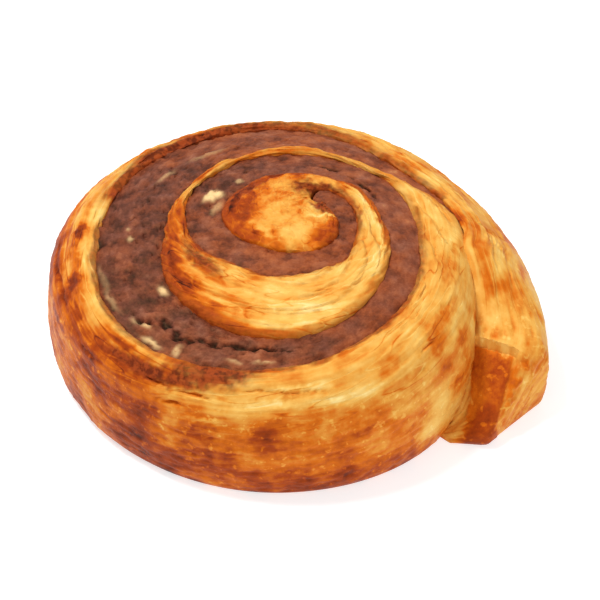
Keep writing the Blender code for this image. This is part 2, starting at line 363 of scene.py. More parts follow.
def outer_edge(bearing):
    """The radius of the strip's outer side at its widest."""
    if bearing < OUTLINE_START + EIGHTH:
        return float(filling_inner(bearing)) - SEAM_GAP / 2
    radius = float(smooth(OUTLINE, bearing, OUTLINE_START))
    if bearing > TAIL_LEANS[1]:
        radius = min(radius, cut_radius(bearing, TAIL_SIDE, TAIL_TIP))
    if bearing > FLAP_EDGE:
        radius = min(radius, cut_radius(bearing, TAIL_TIP, TAIL_NOTCH))
    return radius


def dome(radius):
    """The height of the roll's top at a radius."""
    return CROWN_HEIGHT - (CROWN_HEIGHT - RIM_HEIGHT) * (radius / RIM_RADIUS) ** 2


def flap_height(bearing):
    """The folded-down corner's height, from its upper edge to its foot at the strip's end."""
    share = (bearing - FLAP_EDGE) / (STRIP_END - FLAP_EDGE)
    return mix(FLAP_TOP, FLAP_FOOT, np.clip(share, 0.0, 1.0))


def on_flap(bearing):
    return bearing > FLAP_EDGE


def inner_gap(bearing):
    """The gap between a turn and the turn inside it. It closes along the tail's crease."""
    return mix(SEAM_GAP, CREASE_GAP, float(ramp(bearing, *CREASE_CLOSES)))


def section_ends(bearing):
    """Where a section starts and ends in plan. The innermost fan out from the filling's tip."""
    end = plan(bearing, outer_edge(bearing))
    if bearing >= FOLD_END:
        start = float(filling_outer(bearing - 360.0)) - SEAM_GAP / 2 + inner_gap(bearing)
        return plan(bearing, start), end
    if bearing <= FLANK_END:
        flank = mix(FLANK_START, TIP, (bearing - STRIP_START) / (FLANK_END - STRIP_START))
        return plan(flank, filling_inner(flank) - SEAM_GAP / 2), end
    inner, outer = float(filling_inner(TIP)), float(filling_outer(TIP))
    turn = np.pi * (bearing - FLANK_END) / (FOLD_END - FLANK_END)
    middle = plan(TIP, (inner + outer) / 2)
    outwards = plan(TIP, 1.0) - plan(TIP, 0.0)
    nosewards = np.array([-outwards[1], outwards[0]])
    reach = (outer - inner) / 2 + SEAM_GAP / 2
    return middle + reach * (nosewards * np.sin(turn) - outwards * np.cos(turn)), end


def edge_drop(bearing):
    """How far a turn's hidden edge lies below its top. It is less where the tail parts from it."""
    return mix(EDGE_DROP, CREASE_DROP, float(ramp(bearing, *CREASE_STARTS)))


def wall_form(bearing, top):
    """The outer side's shoulder width, widest height and foot inset."""
    shows = float(ramp(bearing, *WALL_SHOWS))
    falls = float(ramp(bearing, *TAIL_FALLS))
    room = outer_edge(bearing) - float(filling_outer(max(bearing - 360.0, TIP)))
    shoulder = min(SHOULDER_WIDTH, SHOULDER_SHARE * room)
    width = mix(mix(EDGE_WIDTH, shoulder, shows), TAIL_SHOULDER, falls)
    widest = mix(top - edge_drop(bearing), BULGE_HEIGHT, shows)
    inset = mix(mix(HIDDEN_INSET, FOOT_INSET, shows), TAIL_INSET, falls)
    if on_flap(bearing):
        width = FLAP_SHOULDER
        widest = FLAP_BULGE_SHARE * top
    return width, widest, inset


def top_height(bearing, radius):
    """The top's height at a radius, before its edges are rounded."""
    if on_flap(bearing):
        return flap_height(bearing) + 0.0 * radius
    if bearing < TAIL_FALLS[0]:
        return dome(radius)
    start = float(filling_outer(bearing - 360.0))
    share = ramp(radius, start, outer_edge(bearing))
    height = mix(dome(radius), TAIL_TOP, ramp(bearing, *TAIL_FALLS) * share)
    return mix(height, TAIL_END_TOP, ramp(bearing, *TAIL_DIPS))


def rim_fold(bearing, turn):
    """How far the outermost sheet's rim stands out of the shoulder, at a turn of its round."""
    start, full, fades, end = RIM_FOLD_RUN
    run = ramp(bearing, start, full) * (1.0 - ramp(bearing, fades, end))
    ridge = np.exp(-((turn - RIM_RIDGE_ANGLE) / RIM_SPREAD) ** 2)
    groove = np.exp(-((turn - RIM_GROOVE_ANGLE) / RIM_SPREAD) ** 2)
    return RIM_FOLD * run * (ridge - RIM_FOLD_GROOVE * groove)


def outer_side(bearing):
    """Radii and heights down a radial section's outer side, from its shoulder to its foot."""
    edge = outer_edge(bearing)
    width, widest, inset = wall_form(bearing, top_height(bearing, edge))
    turn = np.linspace(0.0, np.pi / 2, SIDE_SAMPLES + 1)
    rise = np.clip(np.cos(turn), 0.0, 1.0) ** (2 / SHOULDER_POWER)
    radius = edge - width + width * np.sin(turn) ** (2 / SHOULDER_POWER)
    height = widest + (top_height(bearing, radius) - widest) * rise
    fold = rim_fold(bearing, turn)
    radius = radius + fold * np.sin(turn)
    height = height + fold * np.cos(turn)
    tuck = np.linspace(0.0, np.pi / 2, FOOT_SAMPLES + 1)[1:]
    radius = np.append(radius, edge - inset * (1.0 - np.cos(tuck)))
    height = np.append(height, widest * (1.0 - np.sin(tuck)))
    return radius, np.maximum(height, 0.0)


def inner_side(bearing, start_radius):
    """Radii and heights up a section's inner side. The tail's leans on the turn inside it."""
    leans = float(ramp(bearing, *TAIL_LEANS))
    if leans == 0.0:
        top = float(top_height(bearing, start_radius)) - edge_drop(bearing - 360.0)
        return np.full(FACE_SAMPLES, start_radius), np.linspace(0.0, top, FACE_SAMPLES)
    radius, height = outer_side(bearing - 360.0)
    width = wall_form(bearing - 360.0, RIM_HEIGHT)[0]
    crease = np.interp(outer_edge(bearing - 360.0) - CREASE_SHARE * width, radius, height)
    level = float(top_height(bearing, start_radius)) - edge_drop(bearing - 360.0)
    gap = inner_gap(bearing)
    top = mix(level, min(crease + gap, level), leans)
    heights = np.linspace(0.0, top, FACE_SAMPLES)
    leaning = np.interp(heights - gap, height[::-1], radius[::-1]) + gap
    return mix(start_radius, leaning, leans), heights


def sheet_relief(bearing, reach, depth):
    """How far a large sheet's surface stands out, at a depth in from the outer side."""
    angle = np.radians(bearing)
    wander = SHEET_WANDER * sum(np.sin(wave * angle + k) for k, wave in enumerate(SHEET_WAVES))
    rise = saw(depth / SHEET_PITCH + wander, SHEET_DROP_SHARE)
    fade = ramp(reach - depth, 0.0, SHEET_FADE) * ramp(depth, 0.0, SHEET_FADE)
    return SHEET_STEP * (rise - 0.5) * fade


def dough_profile(bearing):
    """A section's start and direction in plan, and its distances out and heights, finely drawn."""
    start, end = section_ends(bearing)
    length = float(np.linalg.norm(end - start))
    across = (end - start) / length
    fan = bearing < FOLD_END
    start_radius = float(np.linalg.norm(start - SPIRAL_CENTRE))
    edge = min(EDGE_WIDTH, length * EDGE_SHARE)

    face_radius, face_height = inner_side(bearing, start_radius)
    face = face_radius - start_radius
    side_radius, side_height = outer_side(bearing)
    side = side_radius - start_radius
    if fan:
        side = length - (side_radius.max() - side_radius) * edge / EDGE_WIDTH

    first, last = face[-1], side[0]
    place = np.linspace(first, last, TOP_SAMPLES + 1)[1:-1]
    radius = np.linalg.norm(start + np.outer(place, across) - SPIRAL_CENTRE, axis=1)
    share = (place - first) / (length - first)
    level = top_height(bearing, radius)
    drop = float(top_height(bearing, start_radius + first)) - face_height[-1]
    level = level - drop * (1.0 - np.clip((place - first) / edge, 0.0, 1.0)) ** 2
    puff = PUFF * min(1.0, length / PUFF_FULL_WIDTH) * (1.0 - float(ramp(bearing, *TAIL_DIPS)))
    level = level + puff * 4.0 * share * (1.0 - share)
    side_share = np.clip((side - first) / (length - first), 0.0, 1.0)
    lift = puff * 4.0 * side_share * (1.0 - side_share)
    side_height = side_height + lift * side_height / side_height[0]

    relief = sheet_relief(bearing, length - first, length - place)
    relief = relief * (CORE_RELIEF_SHARE if fan else 1.0 - float(ramp(bearing, *TAIL_DIPS)))
    level = level + relief
    out = np.concatenate([face, place, side])
    height = np.concatenate([face_height, level, side_height])
    return start, across, out, height, first


def dough_ring(bearing, count):
    """Count points round a section, close together where they show.

    With their places come their run over the top, how bare they are, and how far they are from
    the top's inner edge and from the outer side.
    """
    start, across, out, height, first = dough_profile(bearing)
    wall = float(ramp(bearing, *WALL_SHOWS))
    sunk = height.max() - height
    seen = 1.0 - ramp(sunk, *SEEN_DEPTH)
    outside = np.arange(len(out)) > FACE_SAMPLES + TOP_SAMPLES
    seen = np.where(outside, np.maximum(seen, wall), seen)
    if bearing > TAIL_LEANS[0]:
        seen = np.where(np.arange(len(out)) >= FACE_SAMPLES, 1.0, seen)
    steps = np.hypot(np.diff(out), np.diff(height))
    weight = mix(HIDDEN_WEIGHT, 1.0, (seen[1:] + seen[:-1]) / 2)
    spent = np.concatenate([[0.0], np.cumsum(steps * weight)])
    at = np.interp(np.linspace(0.0, spent[-1], count), spent, np.arange(len(out)))
    sample = np.arange(len(out))
    run = np.concatenate([[0.0], np.cumsum(steps)])
    run = run - run[FACE_SAMPLES - 1]
    out, height, run, seen = (np.interp(at, sample, v) for v in (out, height, run, seen))
    ring = np.column_stack([start + np.outer(out, across), height])
    return ring, run, seen, out - first, out.max() - out


def stations(start, end, step, slowest):
    """Bearings an even step of mm apart along the strip, and no more than slowest degrees."""
    bearings = [start]
    while bearings[-1] < end:
        reach = outer_edge(bearings[-1])
        bearings.append(bearings[-1] + min(slowest, float(np.degrees(step / reach))))
    bearings[-1] = end
    return np.array(bearings)


def outward(grid):
    """Unit normals of a grid of points that runs along the strip and round its sections."""
    along = np.gradient(grid, axis=0)
    round_ = np.gradient(grid, axis=1)
    normal = np.cross(along, round_)
    return normal / np.maximum(np.linalg.norm(normal, axis=2), 1e-9)[..., None]


def within_box(grid):
    """A grid of points in mm, kept within the solids' box."""
    low, high = (np.array(corner) / MM for corner in CAD_BOX)
    return np.clip(grid, low, high)


def new_object(name, data):
    """An object with this data, in the scene."""
    made = bpy.data.objects.new(name, data)
    bpy.context.scene.collection.objects.link(made)
    return made


def closed_mesh(name, grid, colours):
    """A closed mesh through the grid's rings, in metres, with a value for each point and name."""
    count, size = grid.shape[:2]
    index = np.arange(count * size).reshape(count, size)
    after = np.roll(index, -1, axis=1)
    quads = np.stack([index[:-1], after[:-1], after[1:], index[1:]], axis=-1).reshape(-1, 4)
    faces = quads.tolist() + [index[0, ::-1].tolist(), index[-1].tolist()]
    mesh = bpy.data.meshes.new(name)
    mesh.from_pydata((grid.reshape(-1, 3) * MM).tolist(), [], faces)
    mesh.validate()
    mesh.shade_smooth()
    mesh.set_sharp_from_angle(angle=CRISP_ANGLE)
    for title, values in colours.items():
        layer = mesh.attributes.new(title, "FLOAT", "POINT")
        layer.data.foreach_set("value", np.asarray(values, float).reshape(-1))
    return new_object(name, mesh)


class Marks:
    """Patches on the roll with ragged outlines, which stray by about wander in mm.

    Each row has a patch's bearing, radius and height, its half sizes in mm along and across the
    strip, and how strong it is.
    """

    def __init__(self, wander, seed, *rows):
        self.wander, self.seed, self.rows = wander, seed, rows

    def weight(self, place):
        """The joint weight of the patches at each place, from 0 to 1."""
        ragged = np.stack(
            [layered(place / MARK_RAG_SIZE, self.seed + k) for k in range(3)], axis=-1)
        shifted = place + self.wander * ragged
        bare = np.ones(place.shape[:-1])
        for bearing, radius, height, along, across, amount in self.rows:
            offset = shifted - np.append(plan(bearing, radius), height)
            angle = np.radians(bearing)
            far = offset @ np.array([np.cos(angle), -np.sin(angle), 0.0])
            rest = np.maximum((offset ** 2).sum(axis=-1) - far ** 2, 0.0)
            reach = (far / along) ** 2 + rest / across ** 2
            bare *= 1.0 - amount * np.exp(-reach ** MARK_FALL)
        return 1.0 - bare


class Skin:
    """The dough's surface before its relief: where each point is, on the roll and on the strip."""

    def __init__(self, bearings, rings):
        self.place, self.run, self.seen, self.inner, self.outer = (
            np.array([ring[k] for ring in rings]) for k in range(5)
        )
        self.bearing = np.broadcast_to(bearings[:, None], self.run.shape)
        self.far = np.radians(self.bearing) * RIBBON_RADIUS
        self.wall = ramp(self.place[..., 2], *WALL_TOP) * ramp(self.bearing, *WALL_SHOWS)
        self.radius = np.linalg.norm(self.place[..., :2] - SPIRAL_CENTRE, axis=-1)
        self.sunk = dome(self.radius) - self.place[..., 2]
        self.band = 1.0 - ramp(self.bearing, FILLING_END - BLEND, FILLING_END)
        ragged = FLAP_RAG_DEPTH * bumps(self.place, *FLAP_RAG)
        outside = through(self.bearing, FLAP_SIDE) - self.radius + ragged
        inside = self.radius - through(self.bearing, FLAP_ROOT) + ragged
        self.flap = ramp(self.bearing, FLAP_EDGE, FLAP_EDGE + FLAP_EDGE_BLUR)
        self.flap = self.flap * ramp(outside, -FLAP_SIDE_BLUR, FLAP_SIDE_BLUR)
        self.flap = self.flap * ramp(inside, -FLAP_ROOT_BLUR, FLAP_ROOT_BLUR)
        # How dark the rims beside the filling are painted, partly with painted shade; it also
        # weights the filling smeared on them
        self.rim = through(self.bearing, RIM_SHADE)
        fanned = FAN_FLOW * ramp(self.inner, *FAN_FLOW_REACH)
        self.flow = mix(fanned, 1.0, ramp(self.bearing, FOLD_END - BLEND, FOLD_END + BLEND))
        self.drawn = self.flow * (1.0 - WALL_CALM * self.wall) * (1.0 - FLAP_CALM * self.flap)

    def ribbon(self, along, across):
        """Places for noise that is drawn out along the strip, with bumps of these sizes in mm."""
        return np.stack([self.far / along, self.run / across, np.zeros_like(self.run)], axis=-1)

    def noise(self, along, across, seed):
        return noise(self.ribbon(along, across), seed)

    def layered(self, along, across, seed):
        return layered(self.ribbon(along, across), seed)

    def side(self, distance, knots, reach):
        """A value by bearing that fades out within a ragged reach in mm from one side."""
        ragged = SIDE_RAG_SHARE * reach * self.layered(*SIDE_RAG)
        near = ramp(distance + ragged, reach, SIDE_FULL_SHARE * reach)
        return through(self.bearing, knots) * near


# How baked the dough is, from 0 pale to 1 burnt, round the strip's top and down its wall, and
# what is added to it beside the top's inner and outer sides
TOP_BAKE = (
    (54, 0.44), (110, 0.48), (170, 0.4), (240, 0.44), (290, 0.52), (350, 0.52), (400, 0.38),
    (450, 0.31), (500, 0.31), (545, 0.33), (575, 0.37), (600, 0.46), (640, 0.42), (700, 0.38),
    (760, 0.37), (810, 0.31), (850, 0.36), (900, 0.38), (925, 0.46), (945, 0.5), (975, 0.5),
    (1000, 0.47), (1018, 0.45), (1060, 0.4), (1110, 0.38), (1150, 0.4), (1175, 0.45),
    (1190, 0.46), (1214, 0.42),
)
WALL_BAKE = (
    (54, 0.6), (800, 0.55), (850, 0.55), (880, 0.6), (910, 0.65), (935, 0.68), (955, 0.6),
    (985, 0.58), (1040, 0.66), (1140, 0.58), (1178, 0.42), (1214, 0.42),
)
OUTER_BAKE = (
    (54, 0.1), (120, 0.14), (180, 0.05), (260, 0.2), (300, 0.34), (335, 0.22), (380, 0.06),
    (440, -0.04), (540, -0.06), (562, 0.2), (585, 0.36), (630, 0.26), (655, 0.02), (760, 0.04),
    (801, 0), (925, 0), (955, 0.26), (1000, 0.24), (1030, 0.14), (1110, 0.06), (1150, 0),
    (1214, 0),
)
OUTER_REACH = 6.5
INNER_BAKE = (
    (54, 0), (396, 0), (420, 0.1), (520, 0.12), (560, 0.13), (630, 0.14), (660, 0.1), (740, 0.06),
    (780, 0.02), (830, -0.06), (860, 0.12), (880, 0.14), (900, 0.06), (930, 0.1), (960, -0.06),
    (1000, -0.08), (1020, 0.2), (1100, 0.14), (1140, 0.05), (1152, 0.16), (1166, 0.12),
    (1178, -0.12), (1190, -0.18), (1196, 0), (1214, 0),
)
INNER_REACH = 3.0

# How dark the dough's rims beside the filling are, partly browning and partly painted shade where
# they drop. The core's front rim and the rear are pale.
RIM_SHADE = (
    (54, 1), (125, 1), (150, 0.15), (265, 0.15), (290, 1), (450, 1), (485, 0.5), (525, 0.5),
    (555, 1), (600, 1), (650, 0.25), (775, 0.25), (815, 1), (1214, 1),
)
# Where filling is smeared on the dough beside the rear band, by bearing, and how far from it
STAINED = (
    (54, 0), (1000, 0), (1013, 0.85), (1045, 1), (1090, 0.85), (1125, 0), (1214, 0),
)
STAIN_REACH = 4.8

# What streaks, sheets, patches, blotches, blisters, the wall's foot, folds and bubbles add.
# The sheets' and folds' darkening is painted shade, and the wall is darker towards its foot.
STREAK_BAKE = 0.05
SHEET_FOLD_SHADE = 0.12
SHEET_FOLD_SHADE_MIDDLE = 0.35
WALL_LINE_SHARE = 0.5
PATCH_BAKE = 0.2
DRAWN_BAKE = 0.12
BLOTCH_BAKE = 0.11
BLISTER_BAKE = 0.16
PALE_WALL_CONTRAST = 0.45
PALE_WALL_ENDS = (885.0, 925.0)
FOOT_DARKENING = 0.12
FOOT_REACH = (12.0, 2.0)
FOLD_SHADE = 0.22
BUBBLE_BAKE = 0.12

# How baked the folded corner is, how dark the rims are (partly painted shade), and how strong
# contrasts and marks are
FLAP_BAKE = 0.67
FLAP_CONTRAST = 0.4
SIDE_BAKE_AND_SHADE = 0.68
PALE_SHARE = 0.8
SCORCH_AND_SHADE_SHARE = 0.76

# How far in from a side its browning reaches in full, and how ragged that is
SIDE_FULL_SHARE = 0.3
SIDE_RAG_SHARE = 0.35

# Where the dark rims beside the filling start, with painted shade where they drop below the top,
# and how far filling is smeared over them
BRINK_RAG_DEPTH = 0.6
BRINK_REACH = 0.9
LIP_SUNK = (0.15, 0.8)
LIP_SHADE = 0.85
STAINED_SUNK = (1.6, 2.8)
RIM_STAIN = 0.7
RIM_RAG_DEPTH = 1.1
RIM_STAIN_REACH = (2.2, 0.8)
FAR_RIM_STAIN = 0.5
FAR_RIM_STAIN_REACH = (1.9, 0.7)
GLOSS_REACH = 8.0

# Scorched and pale places, and filling smeared on the dough. A few scorches are partly painted
# shade and a few pale places are painted highlights.
SCORCHES_AND_SHADE = Marks(
    1.0, 31,
    (951, 54.4, 27.2, 4, 1.3, 0.6), (945, 53.6, 28.2, 5, 1.7, 0.7),
    (938, 53.2, 28.4, 5, 1.8, 0.8), (931, 52.4, 29.2, 4.5, 1.8, 0.75),
    (995, 50.5, 31.3, 3.2, 1.6, 1), (976, 52.1, 29.9, 2.8, 1.9, 1),
    (994, 50.3, 31.2, 2.6, 1.5, 1), (976, 51.9, 30, 2.5, 1.8, 1),
    (287, 10.4, 38.3, 3.8, 2.1, 0.8), (310, 12.8, 38.3, 4.2, 1.8, 0.6),
    (981.5, 50.8, 31.2, 4.5, 2, 0.35), (972.6, 51.8, 30.3, 4.5, 2, 0.4),
    (593, 25.1, 37.4, 6, 2.4, 0.35), (300, 3.5, 39, 3, 3, 0.15), (335, 17.4, 37.7, 5, 1.2, 0.35),
    (130, 8.8, 38.4, 2.4, 3.6, 0.42), (118, 10.6, 38.2, 2, 2.6, 0.34),
    # The rows at bearings 845 to 855, here and on the next line, darken the slope beside the
    # tail's crease: browner crust, partly painted shade of that valley
    (848, 45, 32, 7, 1.6, 0.45), (855, 48, 29.4, 5, 2.4, 0.5), (845, 48.6, 26, 4.5, 2, 0.55),
    (820, 40, 34.4, 8, 1.2, 0.35), (853, 50, 24, 4, 2.2, 0.5), (985, 57.4, 23.4, 9, 0.9, 0.55),
    (970, 57, 23.2, 9, 0.9, 0.6), (1000, 56.6, 25, 9, 0.9, 0.5), (598, 31, 35.6, 8, 2.6, 0.4),
    (575, 35.2, 34.4, 7, 2, 0.5), (954, 56.4, 21, 5.5, 2.4, 0.55), (946, 56.2, 19, 6.5, 3.2, 0.6),
    (938, 56, 17.5, 5.5, 3.2, 0.45), (944, 56.2, 10, 5, 3, 0.3), (921, 55.5, 7, 12, 3.4, 0.25),
    (966, 56.8, 14, 7, 5, 0.25), (1163, 50, 28.3, 8, 1.1, 0.35), (1173, 55.6, 24, 8, 1.2, 0.35),
    (1199, 54, 14.6, 5, 3, 0.25), (1207, 57, 6.6, 4, 3, 0.2), (1200.5, 60.8, 11.5, 3, 5, 0.3),
    # Bearing 847 is more browner crust, partly painted shade, beside the tail's crease
    (847, 46.5, 31, 5, 2.5, 0.2),
)
PALE_PATCHES = Marks(
    0.7, 35,
    (851.8, 51, 8, 5, 5, 0.6), (1003.7, 47.4, 31.8, 5, 1.8, 0.6),
    (1003, 48.2, 31.8, 6, 1.8, 0.45), (985, 48.6, 31.6, 5.5, 1.6, 0.65),
    (966, 50, 31.2, 6, 2, 0.45), (949, 49.6, 31.6, 4, 1.2, 0.5), (540, 31, 36.4, 11, 3, 0.55),
    (487, 26, 36.6, 9, 2.2, 0.55), (455, 22, 37, 6, 1.2, 0.8), (470, 26.4, 36.4, 6, 1, 0.9),
    (530, 34.4, 35.2, 9, 0.9, 0.85), (505, 33, 35.6, 7, 0.8, 0.75),
    (548, 34.6, 35.2, 6, 0.8, 0.7), (430, 19.6, 37.6, 6, 1.6, 0.5),
    (886, 51.6, 27.4, 12, 1.2, 0.75), (905, 52.6, 27.6, 9, 1, 0.7),
    (897, 50.2, 30.3, 8, 0.7, 0.75), (836, 46.4, 30.5, 5, 1.2, 0.6),
    (1172, 49.6, 28.5, 7, 1.6, 0.75), (1188, 50.6, 21.6, 5, 1.6, 0.75),
    (1183, 49.4, 24, 5, 1.2, 0.7), (858, 51.8, 15, 4.5, 4, 0.8), (860, 52.2, 9.5, 5, 3, 0.8),
    # On the next line, bearing 1195.3: a painted highlight along the step above the tail's folded
    # corner
    (832, 43.4, 33, 5, 1.3, 0.8), (1195.3, 53.5, 18.8, 1.2, 6, 0.25),
    (836, 46.4, 29.8, 4.5, 1.6, 0.85), (836, 48.4, 23, 3, 3.6, 0.75),
    (868, 52.6, 20, 8, 1.6, 0.45), (170, 5.5, 38.7, 5, 3, 0.5), (236, 7.4, 38.4, 3, 1, 0.5),
    # On the next line, bearing 82: a painted highlight, a white line along the edge of the core's
    # dough
    (290, 3.4, 38.9, 4.5, 3, 0.3), (82, 7.4, 38.8, 0.6, 3.4, 1), (920, 55, 21.8, 6, 0.8, 0.5),
    (880, 51.6, 18, 8, 1, 0.4),
)
SMEARS = Marks(
    1.2, 39,
    (947, 53.2, 28.5, 4.5, 1.2, 0.7), (942, 53, 28.6, 4.5, 1.5, 0.8),
    (937, 52.8, 28.6, 4.5, 1.8, 0.9), (932, 52.6, 28.8, 4.5, 2, 1), (928, 52, 29.4, 4.5, 2.1, 1),
    (923, 51.2, 30, 4.5, 2.3, 1), (918, 50, 30.8, 4.5, 2.4, 1), (914, 48.4, 31.5, 4.5, 2.3, 1),
    (922, 48.6, 31.6, 4.5, 2.2, 0.95), (928, 50, 31.2, 3, 1.4, 0.85),
    (909, 46.4, 31.6, 4, 1.6, 0.9), (372, 13.2, 38, 2.6, 2.2, 0.95), (380, 14.8, 37.6, 2.6, 2, 1),
    (388, 15.4, 37, 2.4, 2, 1), (64, 9.2, 38.5, 2.6, 2.2, 1), (52, 9, 38.2, 2.2, 2.2, 1),
    (396, 16.4, 36.9, 2.4, 1.4, 0.9), (592, 24.4, 37.4, 6, 2, 0.85), (604, 25, 37.4, 6, 2, 0.75),
    (325, 16.4, 37.8, 4, 1.8, 0.8), (288, 11, 38.1, 3, 1.3, 0.5),
)
# Clean dough beside the smears
CLEAN_LINES = Marks(
    0.3, 93,
    (934.4, 50.4, 31.2, 0.8, 1.8, 0.95), (931.2, 52, 29.8, 0.7, 1.8, 0.9),
    # On the next line, bearing 82 keeps the painted highlight on the core clear of smears
    (82, 7.4, 38.8, 0.7, 3.6, 1), (1003.7, 47.4, 31.8, 6, 2.4, 0.85),
)

# Bubbles in the crust beside the tail's folded corner
BUBBLES = Marks(
    0.15, 79,
    (1195.8, 59.2, 17.4, 1.1, 1, 1), (1197.4, 59.7, 15.3, 0.9, 0.9, 0.9),
    (1199.6, 60.3, 12.7, 1.1, 0.9, 1), (1201.4, 60.2, 10.8, 0.8, 0.8, 0.9),
    (1202.7, 60.5, 8.9, 1, 0.8, 1), (1198.4, 61.4, 13.4, 0.8, 0.8, 0.7),
    (1196, 61.4, 15.4, 1, 0.8, 0.8), (1200.9, 61.6, 9.4, 0.8, 0.8, 0.7),
)

# Long folds in the crust, dug in and darkened with painted shade: the front rim's slits, and the
# fold above the tail
FOLDS = Marks(
    0.5, 75,
    (934, 53.9, 27.4, 4.2, 0.45, 1), (929, 55, 24.2, 3.6, 0.45, 1),
    (923, 53.6, 27.4, 4.5, 0.4, 0.9), (905, 51.2, 29.9, 7, 0.4, 0.8),
    (894, 50.9, 29.6, 8, 0.4, 0.7), (945, 55.2, 25, 5, 0.45, 0.8), (960, 55.6, 25, 7, 0.5, 0.8),
    (978, 55, 27.4, 8, 0.5, 0.8), (870, 49.6, 27, 9, 0.5, 0.4), (858, 47.6, 30, 8, 0.45, 0.35),
    (846, 43.6, 32.8, 9, 0.45, 0.4), (826, 38.6, 34.8, 9, 0.45, 0.4),
)


def thin_sheets(skin, pitch, seed):
    """Thin sheets that overlap like shingles, from 0 in the fold behind one to 1 at its edge."""
    drift = sum(
        amount * skin.noise(along, across, seed + k)
        for k, (amount, along, across) in enumerate(THIN_SHEET_DRIFTS)
    )
    shows = skin.noise(*THIN_SHEET_PATCHES, seed + len(THIN_SHEET_DRIFTS))
    return saw(skin.run / pitch + drift, THIN_SHEET_FRONT) * ramp(shows, *THIN_SHEETS_SHOW)


def dough_relief(skin, sizes):
    """How far the fine surface stands out of the section, in mm, and its sheets and blisters."""
    streaks = skin.noise(*STREAKS) + FINE_STREAK_SHARE * skin.noise(*FINE_STREAKS)
    top_sheets = thin_sheets(skin, *THIN_SHEETS)
    wall_sheets = WALL_SHEET_SHARE * thin_sheets(skin, *WALL_SHEETS)
    sheets = mix(top_sheets, wall_sheets, skin.wall) * skin.flow
    crumple = bumps(skin.place, *CRUMPLE)
    swell = bumps(skin.place, *SWELL)
    blister = np.abs(skin.layered(*BLISTERS))
    relief = sizes.streak_depth * streaks * mix(1.0, WALL_STREAK_SHARE, skin.wall) * skin.flow
    rise = sheets - SHEET_MIDDLE
    relief = relief + sizes.sheet_depth * rise * mix(1.0, WALL_SHEET_SHARE, skin.wall)
    relief = relief + sizes.crumple_depth * crumple + sizes.swell_depth * swell
    relief = relief - sizes.blister_depth * skin.wall * (blister - BLISTER_MIDDLE)
    inwards = np.maximum(skin.band, ramp(skin.outer, *SHOULDER_REACH))
    relief = relief * mix(SHOULDER_RELIEF, 1.0, inwards)
    relief = relief * mix(1.0, FLAP_RELIEF, skin.flap) + sizes.flap_depth * skin.flap
    relief = relief - sizes.fold_depth * FOLDS.weight(skin.place)
    relief = relief + sizes.bubble_depth * BUBBLES.weight(skin.place)
    return relief * skin.seen, sheets, streaks, blister


def dough_bake_and_painted_light(skin, sheets, streaks, blister):
    """How dark each point of the dough is, from 0 pale to 1 burnt: browning, with painted shade in
    folds and by the rims and crease, and a few painted highlights.
    """
    place, bearing = skin.place, skin.bearing
    bake_and_painted_light = mix(through(bearing, TOP_BAKE), through(bearing, WALL_BAKE), skin.wall)
    beside = skin.side(skin.outer, OUTER_BAKE, OUTER_REACH)
    beside = beside + skin.side(skin.inner, INNER_BAKE, INNER_REACH)
    bake_and_painted_light = bake_and_painted_light + beside * (1.0 - skin.wall)
    bake_and_painted_light = mix(bake_and_painted_light, FLAP_BAKE, skin.flap)
    calm = mix(1.0, FLAP_CONTRAST, skin.flap)
    on_wall = mix(1.0, WALL_LINE_SHARE, skin.wall)
    lines = STREAK_BAKE * streaks * mix(1.0, WALL_STREAK_SHARE, skin.wall)
    # Painted shade in the fold under each thin sheet, and paler at each sheet's edge
    lines = lines - SHEET_FOLD_SHADE * (sheets - SHEET_FOLD_SHADE_MIDDLE) * on_wall
    patches = PATCH_BAKE * bumps(place, *PATCHES)
    patches = patches + DRAWN_BAKE * skin.layered(*DRAWN_PATCHES) * on_wall
    bake_and_painted_light = bake_and_painted_light + calm * (lines * skin.flow + patches)
    blotches = BLOTCH_BAKE * skin.layered(*BLOTCHES) + BLISTER_BAKE * (blister - BLISTER_MIDDLE)
    uneven = mix(PALE_WALL_CONTRAST, 1.0, ramp(bearing, *PALE_WALL_ENDS))
    bake_and_painted_light = bake_and_painted_light + calm * skin.wall * blotches * uneven
    # The wall is painted darker towards its foot
    bake_and_painted_light = bake_and_painted_light + skin.wall * FOOT_DARKENING * ramp(place[..., 2], *FOOT_REACH)
    scorch_and_shade = SCORCHES_AND_SHADE.weight(place)
    pale = PALE_PATCHES.weight(place)
    # Pale patches and painted highlights lighten; scorches, some partly painted shade, darken
    bake_and_painted_light = bake_and_painted_light * (1.0 - PALE_SHARE * pale) + (1.0 - bake_and_painted_light) * SCORCH_AND_SHADE_SHARE * scorch_and_shade
    ragged = skin.outer + BRINK_RAG_DEPTH * skin.layered(*BRINK_RAG)
    brink = ramp(ragged, FILLING_LAP + BRINK_REACH, FILLING_LAP)
    # The rims beside the filling darken: their browning, and painted shade where they drop
    lip = np.maximum(ramp(skin.sunk, *LIP_SUNK), brink)
    bake_and_painted_light = mix(bake_and_painted_light, SIDE_BAKE_AND_SHADE, LIP_SHADE * lip * skin.band * skin.rim)
    # The long folds are darkened with painted shade; the tail's bubbles are browner
    bake_and_painted_light = bake_and_painted_light + FOLD_SHADE * FOLDS.weight(place) + BUBBLE_BAKE * BUBBLES.weight(place)
    return np.clip(bake_and_painted_light, 0.0, 1.0)


